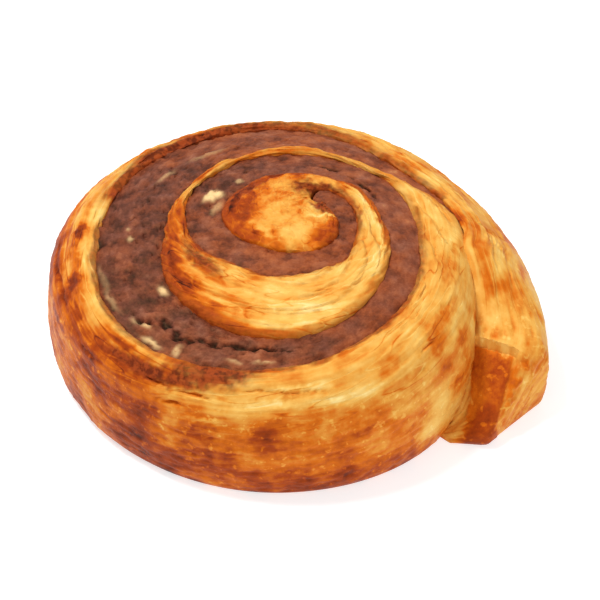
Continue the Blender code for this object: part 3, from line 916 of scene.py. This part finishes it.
def dough_stain(skin):
    """How much filling is smeared on each point of the dough."""
    bearing = skin.bearing
    below = ramp(skin.sunk, *STAINED_SUNK) * skin.band
    rim = RIM_STAIN * ramp(skin.inner + RIM_RAG_DEPTH * skin.layered(*RIM_RAG), *RIM_STAIN_REACH)
    beside = (bearing > FOLD_END) & (bearing < TAIL_LEANS[0] - BLEND)
    rim = np.where(beside, rim * skin.rim, 0.0)
    far = FAR_RIM_STAIN * ramp(skin.outer + skin.layered(*FAR_RIM_RAG), *FAR_RIM_STAIN_REACH)
    stain = np.maximum.reduce([
        SMEARS.weight(skin.place), below, rim, far * skin.band * skin.rim,
        skin.side(skin.inner, STAINED, STAIN_REACH),
    ])
    return np.clip(stain * (1.0 - CLEAN_LINES.weight(skin.place)), 0.0, 1.0)


def make_dough(sizes):
    bearings = stations(STRIP_START, STRIP_END, sizes.station_step, DOUGH_LARGEST_TURN)
    bearings = np.union1d(bearings, FLAP_EDGE + np.array(FLAP_EDGE_STATIONS))
    skin = Skin(bearings, [dough_ring(float(b), sizes.section_points) for b in bearings])
    normal = outward(skin.place)
    if ((skin.place - skin.place.mean(axis=1, keepdims=True)) * normal).sum() < 0:
        normal = -normal
    relief, sheets, streaks, blister = dough_relief(skin, sizes)
    above = ramp(skin.place[..., 2], *RELIEF_STARTS)
    grid = skin.place + normal * (relief * above)[..., None]
    shoulder = skin.side(skin.outer, SHOULDER_GLOSS, GLOSS_REACH)
    return closed_mesh("dough_strip", within_box(grid), {
        "bake_and_painted_light": dough_bake_and_painted_light(skin, sheets, streaks, blister),
        "stain": dough_stain(skin),
        "gloss": np.clip(skin.wall + skin.flap + shoulder, 0.0, 1.0),
        "far": skin.far, "run": skin.run, "flow": skin.drawn,
    })


# The filling's larger pits, dug in and darkened with painted shade, and flakes and crumbs of
# dough that lie on it
PITS = Marks(
    0.7, 47,
    (589.5, 44.6, 31.6, 0.9, 0.8, 1), (587, 43.6, 31.8, 0.7, 0.6, 0.8),
    (581.7, 41.9, 32.3, 1.5, 1.1, 1), (583.6, 41, 32.6, 0.8, 0.7, 0.8),
    (575.2, 43.2, 32.2, 1.5, 1.1, 1), (577, 42.2, 32.4, 0.9, 0.6, 0.9),
    (571.5, 42.8, 32.3, 1, 0.8, 0.9), (568, 41.6, 32.5, 1.6, 0.7, 0.9),
    (563.4, 41.7, 32.4, 1.7, 0.8, 0.9), (560, 40.9, 32.6, 1.2, 0.5, 0.8),
    (555.6, 40.8, 32.5, 2, 0.8, 1), (550.6, 40.2, 32.8, 1.8, 0.6, 0.9),
    (546, 40, 32.9, 1.6, 0.8, 0.9), (541, 40.2, 32.8, 1.4, 0.6, 0.8),
    (381.9, 26, 35.3, 2.2, 0.6, 0.9), (408.3, 24.6, 35.6, 2.6, 0.7, 1),
    (396, 25.2, 35.4, 1.2, 0.5, 0.7), (418, 24, 35.7, 1.2, 0.5, 0.6),
)
CREAM_FLAKES = Marks(
    0.35, 58,
    (303, 23, 35.8, 2.4, 1, 1), (306, 21.6, 35.9, 1.4, 1.6, 1), (300.5, 22.2, 35.8, 1.3, 1.4, 1),
    (581, 47.2, 30.7, 2.8, 0.7, 0.8), (594.5, 35.7, 33.5, 1.6, 0.9, 0.9),
    (326.4, 22.1, 35.8, 1, 0.7, 0.5), (586.6, 44.8, 31.4, 1.8, 0.6, 0.8),
    (590.5, 45.4, 31, 1.6, 0.7, 0.7), (547.6, 43.8, 31.6, 2.4, 0.5, 0.6),
    (556, 44.6, 31.2, 2, 0.6, 0.6), (572.7, 46.4, 30.9, 0.7, 1.6, 0.7),
    (612, 45.4, 31, 5, 0.8, 0.22), (602, 46.2, 30.8, 4, 0.8, 0.3),
    (628, 38, 33.2, 0.8, 0.7, 0.55), (634, 38.6, 33, 0.7, 0.6, 0.5),
    (688, 39, 32.9, 5, 0.9, 0.25), (668, 39, 32.9, 3, 0.7, 0.35), (292, 19, 36.2, 2.6, 1, 0.35),
)
FILLING_TONE = (
    (27, 0.62), (120, 0.6), (200, 0.55), (290, 0.62), (330, 0.6), (400, 0.52), (450, 0.48),
    (520, 0.58), (550, 0.6), (610, 0.66), (660, 0.62), (700, 0.5), (760, 0.49), (801, 0.5),
)
FILLING_ROUGH = (
    (27, 0.5), (150, 0.35), (260, 0.6), (320, 0.9), (420, 0.35), (500, 0.25), (540, 0.7),
    (570, 1), (700, 1), (801, 0.6),
)
# How red-brown the filling is, from 0 a greyish brown
FILLING_WARM = (
    (27, 0.7), (120, 0.9), (200, 0.7), (290, 0.5), (330, 0.2), (380, 0.6), (450, 0.55),
    (500, 0.7), (550, 0.5), (590, 0.3), (650, 0.15), (700, 0.6), (801, 0.8),
)


# The filling's fine relief and tones: shares and amounts, and the parts of its width or the
# noise levels over which they come in. The pits and pores are darkened with painted shade.
NOSE_TURNS = (1.5, 0.1, 10)
FILLING_SIDE_SHARE = 0.04
SMOOTH_RELIEF = 0.4
PORES_SHOW = (0.5, 0.85)
PORE_SHARE = 0.45
LAP_DEPTH = 0.45
LAP_REACH = (0.6, 1.0)
PATCH_TONE = 0.22
SPECK_TONE = 0.12
LUMP_TONE = 0.14
SIDE_TONE = 0.1
SIDE_TONE_REACH = (0.7, 1.0)
PIT_SHADE = 0.95
PIT_TONE_REACH = (0.15, 0.6)
PORE_SHADE = 0.9
PATCH_WARMTH = 0.55
SIDE_WARMTH = 0.5
SIDE_WARMTH_REACH = (0.65, 1.0)


def lip_dip(bearing, share):
    """How far the filling drops under the inner turn's lip, at a share of its width."""
    start, full, fades, end = LIP_RUN
    run = ramp(bearing, start, full) * (1.0 - ramp(bearing, fades, end))
    return LIP_DEPTH * run * (1.0 - ramp(share, 0.0, LIP_SHARE))


def filling_ring(bearing, count):
    """Points round a section of the filling, nearly all on its top, and their share across."""
    inner = float(filling_inner(bearing)) - FILLING_LAP
    outer = float(filling_outer(bearing)) + FILLING_LAP
    if bearing < TIP:
        half = np.sqrt(max(0.0, 1.0 - ((TIP - bearing) / FILLING_NOSE) ** 2))
        inner, outer = (
            (inner + outer) / 2 + sign * half * (outer - inner) / 2 for sign in (-1, 1)
        )
    share = np.linspace(0.0, 1.0, count)
    radius = mix(inner, outer, share)
    edge = (2.0 * share - 1.0) ** 4
    height = dome(radius) - FILLING_SUNK - FILLING_EDGE_DROP * edge - lip_dip(bearing, share)
    top = np.column_stack([plan(bearing, radius), height])
    base = np.array([[*plan(bearing, r), FILLING_BASE] for r in (outer, inner)])
    return np.vstack([top, base]), np.concatenate([share, [1.0, 0.0]])


def filling_tone(grid, bearing, off_middle, rough, lumps, pits, pores):
    """How dark each point of the filling is, with painted shade in its pits and pores, and how
    red-brown, from 0 to 1.
    """
    tone = through(bearing, FILLING_TONE) + PATCH_TONE * bumps(grid, *TONE_PATCHES)
    tone = tone - SPECK_TONE * bumps(grid, *TONE_SPECKS) * rough - LUMP_TONE * lumps
    tone = tone + SIDE_TONE * ramp(off_middle, *SIDE_TONE_REACH)
    # The pits and pores are darkened with painted shade
    tone = mix(tone, 1.0, PIT_SHADE * ramp(pits, *PIT_TONE_REACH))
    tone = mix(tone, PORE_SHADE, PORE_SHARE * pores)
    warm = through(bearing, FILLING_WARM) + PATCH_WARMTH * bumps(grid, *WARM_PATCHES)
    warm = warm + SIDE_WARMTH * ramp(off_middle, *SIDE_WARMTH_REACH)
    return np.clip(tone, 0.0, 1.0), np.clip(warm, 0.0, 1.0)


def make_filling(sizes):
    nose = TIP - FILLING_NOSE * np.sin(np.linspace(*NOSE_TURNS))
    even = stations(TIP, FILLING_END, sizes.filling_step, FILLING_LARGEST_TURN)
    bearings = np.concatenate([nose, even])
    rings = [filling_ring(float(b), sizes.filling_points) for b in bearings]
    grid, share = (np.array([ring[k] for ring in rings]) for k in range(2))
    bearing = np.broadcast_to(bearings[:, None], share.shape)
    on_top = (np.arange(grid.shape[1]) < sizes.filling_points)[None, :]
    off_middle = np.abs(2.0 * share - 1.0)
    inside = ramp(1.0 - off_middle, 0.0, FILLING_SIDE_SHARE) * on_top
    rough = through(bearing, FILLING_ROUGH)
    lumps = bumps(grid, *LUMPS)
    pits = PITS.weight(grid)
    flakes = CREAM_FLAKES.weight(grid)
    pores = ramp(bumps(grid, *PORES), *PORES_SHOW) * rough
    rise = sizes.lump_depth * lumps + sizes.grain_depth * bumps(grid, *GRAINS)
    rise = rise * mix(SMOOTH_RELIEF, 1.0, rough)
    rise = rise - sizes.pit_depth * np.maximum(pits, PORE_SHARE * pores)
    rise = rise + sizes.flake_depth * flakes
    lap = LAP_DEPTH * bumps(grid, *LAP) * ramp(off_middle, *LAP_REACH)
    tone, warm = filling_tone(grid, bearing, off_middle, rough, lumps, pits, pores)
    grid = grid.copy()
    grid[..., 2] += (rise + lap) * inside
    return closed_mesh("filling_band", within_box(grid), {
        "tone": tone, "warm": warm, "flake": flakes,
    })


# The finest tones: sizes in mm, what each adds to the browning, and where it shows. Lines have
# their sizes along and across the strip, their width and a shift of their noise. The crease
# lines add painted shade, and the pale dots on the shiny crust are painted glints.
GRAIN_SIZE = 0.8
DRAWN_GRAIN_SIZES = (4.0, 0.7)
GRAIN_BAKE = 0.07
CREASE_LINES = (16.0, 4.2, 0.018, 2.0)
CREASE_SHADE = 0.2
EDGE_LINES = (13.0, 3.4, 0.026, 9.0)
EDGE_BAKE = -0.16
CREASE_RISE = -0.8
EDGE_RISE = 0.6
STRETCH_SIZES = (9.0, 5.0)
STRETCH_SHIFT = 5.0
STRETCHES_SHOW = (0.44, 0.6)
STAIN_SIZE = 1.4
CRUMB_SIZE = 0.8
DOTS = (1.6, 2.0)
DOTS_SHOW = (0.6, 0.7)
DOT_GLINT = -0.16

# Mottling by noise: its size in mm, and the tones or roughnesses that it goes between
SPECKLES = (1.8, -0.11, 0.11)
PASTE_SPECKLES = (0.5, -0.14, 0.14)
PASTE_PATCHES = (2.0, -0.1, 0.1)
SATIN = (1.3, 0.7, 0.5)
SHINY = (0.9, 0.58, 0.28)
PASTE_SHEEN = (0.9, 0.7, 0.42)

# The finest relief: its noise's size in mm and detail, and its bump's strength and depth in mm
CRUST_ROUGHNESS = (0.5, 4.0)
CRUST_BUMP = (0.6, 0.16)
PASTE_ROUGHNESS = (0.35, 4.0)
PASTE_BUMP = (0.6, 0.12)

# How strongly the crust and the paste reflect
CRUST_SPECULAR = 0.1
PASTE_SPECULAR = 0.3


class Nodes:
    """A shorthand for building a material's nodes."""

    def __init__(self, name):
        self.material = bpy.data.materials.new(name)
        self.material.use_nodes = True
        self.tree = self.material.node_tree
        self.surface = self.tree.nodes["Principled BSDF"]

    def add(self, kind, **settings):
        node = self.tree.nodes.new(kind)
        for key, value in settings.items():
            setattr(node, key, value)
        return node

    def link(self, source, target):
        self.tree.links.new(source, target)

    def attribute(self, title):
        return self.add("ShaderNodeAttribute", attribute_name=title).outputs["Fac"]

    def clouds(self, place, scale, detail):
        node = self.add("ShaderNodeTexNoise")
        node.inputs["Scale"].default_value = scale
        node.inputs["Detail"].default_value = detail
        self.link(place, node.inputs["Vector"])
        return node.outputs["Fac"]

    def noise(self, size, detail=3.0):
        """Noise with bumps of a size in mm, from 0 to 1."""
        place = self.add("ShaderNodeTexCoord").outputs["Object"]
        return self.clouds(place, 1.0 / (size * MM), detail)

    def ribbon(self, along, across, detail=3.0, shift=0.0):
        """Noise drawn out along the strip, with streaks of these sizes in mm, from 0 to 1."""
        place = self.add("ShaderNodeCombineXYZ")
        place.inputs["Z"].default_value = shift
        for title, size, axis in (("far", along, "X"), ("run", across, "Y")):
            node = self.add("ShaderNodeMath", operation="DIVIDE")
            self.link(self.attribute(title), node.inputs[0])
            node.inputs[1].default_value = size
            self.link(node.outputs["Value"], place.inputs[axis])
        return self.clouds(place.outputs["Vector"], 1.0, detail)

    def between(self, share, a, b, kind="FLOAT"):
        """What goes from a to b as share goes from 0 to 1."""
        node = self.add("ShaderNodeMix", data_type=kind)
        self.link(share, node.inputs["Factor"])
        self.link(a, node.inputs["A"])
        self.link(b, node.inputs["B"])
        return node.outputs["Result"]

    def blend(self, share, a, b):
        """A colour that goes from a to b as share goes from 0 to 1."""
        return self.between(share, a, b, "RGBA")

    def remap(self, source, side, low, high):
        node = self.add("ShaderNodeMapRange")
        node.inputs[side + " Min"].default_value = low
        node.inputs[side + " Max"].default_value = high
        self.link(source, node.inputs["Value"])
        return node.outputs["Result"]

    def spread(self, source, low, high):
        """A 0 to 1 value stretched to a range."""
        return self.remap(source, "To", low, high)

    def mottle(self, size, low, high):
        """Noise with bumps of a size in mm, stretched to a range."""
        return self.spread(self.noise(size), low, high)

    def step(self, source, low, high):
        """0 where the value is at low and 1 where it is at high."""
        return self.remap(source, "From", low, high)

    def maths(self, operation, a, b=None):
        node = self.add("ShaderNodeMath", operation=operation)
        self.link(a, node.inputs[0])
        if b is not None:
            self.link(b, node.inputs[1])
        return node.outputs["Value"]

    def plus(self, a, b):
        return self.maths("ADD", a, b)

    def times(self, a, b):
        return self.maths("MULTIPLY", a, b)

    def lines(self, along, across, width, shift):
        """Thin lines drawn out along the strip, broken into stretches: 1 on a line, else 0."""
        level = self.spread(self.ribbon(along, across, 1.0, shift), -0.5, 0.5)
        line = self.step(self.maths("ABSOLUTE", level), width, 0.0)
        stretch = self.ribbon(*STRETCH_SIZES, 1.0, shift + STRETCH_SHIFT)
        return self.times(line, self.step(stretch, *STRETCHES_SHOW))

    def colours(self, source, stops):
        """A colour ramp through stops, each a place and a colour."""
        node = self.add("ShaderNodeValToRGB")
        elements = node.color_ramp.elements
        while len(elements) < len(stops):
            elements.new(0.5)
        for element, (place, _) in zip(elements, stops):
            element.position = place
        for element, (_, colour) in zip(elements, stops):
            element.color = (*colour, 1.0)
        self.link(source, node.inputs["Fac"])
        return node.outputs["Color"]

    def bump(self, source, strength, distance):
        node = self.add("ShaderNodeBump")
        node.inputs["Strength"].default_value = strength
        node.inputs["Distance"].default_value = distance * MM
        self.link(source, node.inputs["Height"])
        self.link(node.outputs["Normal"], self.surface.inputs["Normal"])

    def reflect(self, level, tint):
        """How much the surface reflects, and its reflections' tint, set on the shader itself."""
        self.surface.inputs["Specular IOR Level"].default_value = level
        self.surface.inputs["Specular Tint"].default_value = (*tint, 1.0)


def crust_material(colours):
    nodes = Nodes("baked_crust")
    flow = nodes.attribute("flow")
    gloss = nodes.attribute("gloss")
    grain = nodes.between(flow, nodes.noise(GRAIN_SIZE), nodes.ribbon(*DRAWN_GRAIN_SIZES))
    fine = nodes.spread(grain, -GRAIN_BAKE, GRAIN_BAKE)
    broad = nodes.mottle(*SPECKLES)
    creases = nodes.times(nodes.lines(*CREASE_LINES), flow)
    edges = nodes.times(nodes.lines(*EDGE_LINES), flow)
    # The crease lines are darkened with painted shade; the sheet edges are paler
    drawn = nodes.plus(
        nodes.spread(creases, 0.0, CREASE_SHADE), nodes.spread(edges, 0.0, EDGE_BAKE))
    # Pale dots on the shiny crust are painted glints on its blisters
    glint_dots = nodes.times(nodes.step(nodes.noise(*DOTS), *DOTS_SHOW), gloss)
    broad = nodes.plus(broad, nodes.spread(glint_dots, 0.0, DOT_GLINT))
    bake_and_painted_light = nodes.plus(nodes.plus(nodes.attribute("bake_and_painted_light"), fine), nodes.plus(broad, drawn))
    crust = nodes.colours(bake_and_painted_light, (
        (0.00, colours.cream), (0.20, colours.pale), (0.40, colours.golden),
        (0.58, colours.orange), (0.74, colours.brown), (0.90, colours.dark), (1.0, colours.burnt),
    ))
    paste = nodes.colours(
        nodes.noise(STAIN_SIZE), ((0.4, colours.stain_dark), (0.58, colours.stain)))
    nodes.link(nodes.blend(nodes.attribute("stain"), crust, paste),
               nodes.surface.inputs["Base Color"])
    sheen = nodes.between(gloss, nodes.mottle(*SATIN), nodes.mottle(*SHINY))
    nodes.link(sheen, nodes.surface.inputs["Roughness"])
    nodes.reflect(CRUST_SPECULAR, colours.shine)
    layers = nodes.plus(
        nodes.spread(creases, 0.0, CREASE_RISE), nodes.spread(edges, 0.0, EDGE_RISE))
    rough = nodes.plus(nodes.noise(*CRUST_ROUGHNESS), grain)
    nodes.bump(nodes.plus(rough, layers), *CRUST_BUMP)
    return nodes.material


def filling_material(colours):
    nodes = Nodes("cinnamon_paste")
    fine = nodes.plus(nodes.attribute("tone"), nodes.mottle(*PASTE_SPECKLES))
    tone = nodes.plus(fine, nodes.mottle(*PASTE_PATCHES))
    cool, warm = (
        nodes.colours(tone, (
            (0.0, colours.crumb), (0.28, light), (0.55, middle), (0.78, dark), (1.0, colours.pit_shade),
        ))
        for light, middle, dark in (
            (colours.cool_light, colours.cool, colours.cool_dark),
            (colours.warm_light, colours.warm, colours.warm_dark),
        )
    )
    paste = nodes.blend(nodes.attribute("warm"), cool, warm)
    flake = nodes.colours(
        nodes.noise(CRUMB_SIZE), ((0.25, colours.crumb), (0.45, colours.flake)))
    nodes.link(nodes.blend(nodes.attribute("flake"), paste, flake),
               nodes.surface.inputs["Base Color"])
    nodes.link(nodes.mottle(*PASTE_SHEEN), nodes.surface.inputs["Roughness"])
    nodes.reflect(PASTE_SPECULAR, colours.shine)
    nodes.bump(nodes.noise(*PASTE_ROUGHNESS), *PASTE_BUMP)
    return nodes.material


def number(name, default, low, high, text):
    """A length in mm that a user can change."""
    return FloatProperty(
        name=name, default=default, min=low, max=high, description=text + ", in mm")


def colour(name, red, green, blue, text):
    return FloatVectorProperty(
        name=name, description=text, subtype="COLOR", size=3, min=0.0, max=1.0,
        default=srgb(red, green, blue),
    )


class RollSizes(PropertyGroup):
    station_step: number("Station step", 0.80, 0.5, 5.0, "Distance between dough sections")
    section_points: IntProperty(
        name="Section points", default=100, min=30, max=200, description="Points round the dough")
    filling_step: number("Filling step", 0.62, 0.3, 5.0, "Distance between filling sections")
    filling_points: IntProperty(
        name="Filling points", default=60, min=10, max=120, description="Points over the filling")
    streak_depth: number("Streak depth", 0.14, 0.0, 1.0, "Depth of the fine streaks")
    sheet_depth: number("Sheet depth", 0.42, 0.0, 1.0, "Depth of the thin sheets' edges")
    fold_depth: number("Fold depth", 0.9, 0.0, 2.0, "Depth of the long folds in the crust")
    flap_depth: number("Flap depth", 0.5, 0.0, 1.0, "Height of the tail's folded corner")
    bubble_depth: number("Bubble depth", 0.9, 0.0, 2.0, "Height of the tail's bubbles")
    flake_depth: number("Flake depth", 0.4, 0.0, 1.0, "Height of the flakes on the filling")
    crumple_depth: number("Crumple depth", 0.26, 0.0, 1.0, "Depth of the crumpled skin")
    swell_depth: number("Swell depth", 0.45, 0.0, 2.0, "Depth of the broad swellings")
    blister_depth: number("Blister depth", 0.55, 0.0, 2.0, "Depth of the wall's blisters")
    lump_depth: number("Lump depth", 0.42, 0.0, 2.0, "Height of the filling's lumps")
    grain_depth: number("Grain depth", 0.13, 0.0, 1.0, "Height of the filling's grains")
    pit_depth: number("Pit depth", 1.3, 0.0, 3.0, "Depth of the filling's pits")


class RollColours(PropertyGroup):
    cream: colour("Cream", 240, 212, 140, "Barely baked dough")
    pale: colour("Pale", 232, 184, 96, "Pale yellow dough")
    golden: colour("Golden", 221, 154, 64, "Golden crust")
    orange: colour("Orange", 204, 104, 20, "Orange-brown crust")
    brown: colour("Brown", 160, 64, 16, "Brown crust")
    dark: colour("Dark", 108, 38, 14, "Scorched crust")
    burnt: colour("Burnt", 48, 16, 8, "Burnt crust")
    stain: colour("Stain", 150, 64, 28, "Dough stained with filling")
    stain_dark: colour("Dark stain", 96, 36, 18, "Dough covered with filling")
    crumb: colour("Crumb", 204, 150, 96, "Light grains in the filling")
    flake: colour("Flake", 236, 198, 138, "Flakes of dough on the filling")
    cool_light: colour("Light greyish paste", 144, 90, 70, "Greyish filling, light")
    cool: colour("Greyish paste", 108, 58, 44, "Greyish filling")
    cool_dark: colour("Dark greyish paste", 72, 34, 24, "Greyish filling, dark")
    warm_light: colour("Light red-brown paste", 166, 90, 50, "Red-brown filling, light")
    warm: colour("Red-brown paste", 138, 66, 34, "Red-brown filling")
    warm_dark: colour("Dark red-brown paste", 90, 34, 16, "Red-brown filling, dark")
    # The paste's darkest colour, which paints the shade in the filling's pits and pores
    pit_shade: colour("Pit", 30, 12, 8, "Pits in the filling")
    shine: colour("Shine", 255, 206, 150, "The tint of what the crust and paste reflect")
    floor: colour("Floor", 205, 205, 205, "The stage's floor")


def dress(piece, node, material):
    """Puts a piece on the body in place of its solid, with its finish."""
    piece.data.materials.append(material)
    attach(piece, BODY)
    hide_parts(node)


class ROLL_OT_dough(Operator):
    """Make the dough strip"""
    bl_idname = "roll.dough"
    bl_label = "Dough"

    def execute(self, context):
        scene = context.scene
        dress(make_dough(scene.roll_sizes), "dough", crust_material(scene.roll_colours))
        return {"FINISHED"}


class ROLL_OT_filling(Operator):
    """Make the filling band"""
    bl_idname = "roll.filling"
    bl_label = "Filling"

    def execute(self, context):
        scene = context.scene
        material = filling_material(scene.roll_colours)
        dress(make_filling(scene.roll_sizes), "filling", material)
        return {"FINISHED"}


# The stage: the photo's angle, and light from above and both sides
VIEW_TARGET = Vector((1.3, -2.4, 14.4)) * MM
VIEW_DISTANCE = 486.0 * MM
VIEW_ELEVATION = np.radians(40.0)
VIEW_LENS = 120.0
FLOOR_SIZE = 4.0
FLOOR_GLOW = 0.6
FLOOR_ROUGHNESS = 0.9
WHITE = (1.0, 1.0, 1.0, 1.0)
WORLD_STRENGTH = 0.5
# Each light's name, place, size and power
LIGHTS = (
    ("key", (-0.26, 0.04, 0.70), 0.16, 4.0),
    ("fill", (0.40, -0.60, 0.45), 0.60, 2.0),
    ("back", (0.10, 0.60, 0.55), 0.60, 0.8),
)


def make_light(name, place, size, power):
    data = bpy.data.lights.new(name, "AREA")
    data.shape = "DISK"
    data.size = size
    data.energy = power
    light = new_object(name, data)
    light.location = place
    light.rotation_euler = (-Vector(place)).to_track_quat("-Z", "Y").to_euler()


class ROLL_OT_stage(Operator):
    """Make the floor, the lights and the camera"""
    bl_idname = "roll.stage"
    bl_label = "Stage"

    def execute(self, context):
        scene = context.scene
        half = FLOOR_SIZE / 2
        mesh = bpy.data.meshes.new("floor")
        corners = [(-half, -half, 0), (half, -half, 0), (half, half, 0), (-half, half, 0)]
        mesh.from_pydata(corners, [], [(0, 1, 2, 3)])
        floor = new_object("floor", mesh)
        nodes = Nodes("floor")
        nodes.surface.inputs["Base Color"].default_value = (*scene.roll_colours.floor, 1.0)
        nodes.surface.inputs["Roughness"].default_value = FLOOR_ROUGHNESS
        nodes.surface.inputs["Emission Color"].default_value = WHITE
        nodes.surface.inputs["Emission Strength"].default_value = FLOOR_GLOW
        mesh.materials.append(nodes.material)
        world = bpy.data.worlds.new("studio")
        world.use_nodes = True
        sky = world.node_tree.nodes["Background"]
        sky.inputs["Color"].default_value = WHITE
        sky.inputs["Strength"].default_value = WORLD_STRENGTH
        scene.world = world
        scene.view_settings.view_transform = "Standard"
        for light in LIGHTS:
            make_light(*light)
        data = bpy.data.cameras.new("camera")
        data.lens = VIEW_LENS
        camera = new_object("camera", data)
        back = Vector((0.0, -np.cos(VIEW_ELEVATION), np.sin(VIEW_ELEVATION)))
        camera.location = VIEW_TARGET + back * VIEW_DISTANCE
        camera.rotation_euler = (-back).to_track_quat("-Z", "Y").to_euler()
        scene.camera = camera
        return {"FINISHED"}


OPERATORS = (ROLL_OT_dough, ROLL_OT_filling, ROLL_OT_stage)


class ROLL_PT_panel(Panel):
    """The roll's pieces, sizes and colours"""
    bl_idname = "ROLL_PT_panel"
    bl_label = "Cinnamon roll"
    bl_space_type = "VIEW_3D"
    bl_region_type = "UI"
    bl_category = "Cinnamon roll"

    def draw(self, context):
        layout = self.layout
        for operator in OPERATORS:
            layout.operator(operator.bl_idname)
        for group in (context.scene.roll_sizes, context.scene.roll_colours):
            box = layout.box()
            for title in group.__annotations__:
                box.prop(group, title)


CLASSES = (RollSizes, RollColours, *OPERATORS, ROLL_PT_panel)


def register():
    for item in CLASSES:
        bpy.utils.register_class(item)
    bpy.types.Scene.roll_sizes = PointerProperty(type=RollSizes)
    bpy.types.Scene.roll_colours = PointerProperty(type=RollColours)


def unregister():
    del bpy.types.Scene.roll_colours
    del bpy.types.Scene.roll_sizes
    for item in reversed(CLASSES):
        bpy.utils.unregister_class(item)


def main():
    register()
    bpy.ops.roll.dough()
    bpy.ops.roll.filling()
    bpy.ops.roll.stage()


if __name__ == "__main__":
    main()
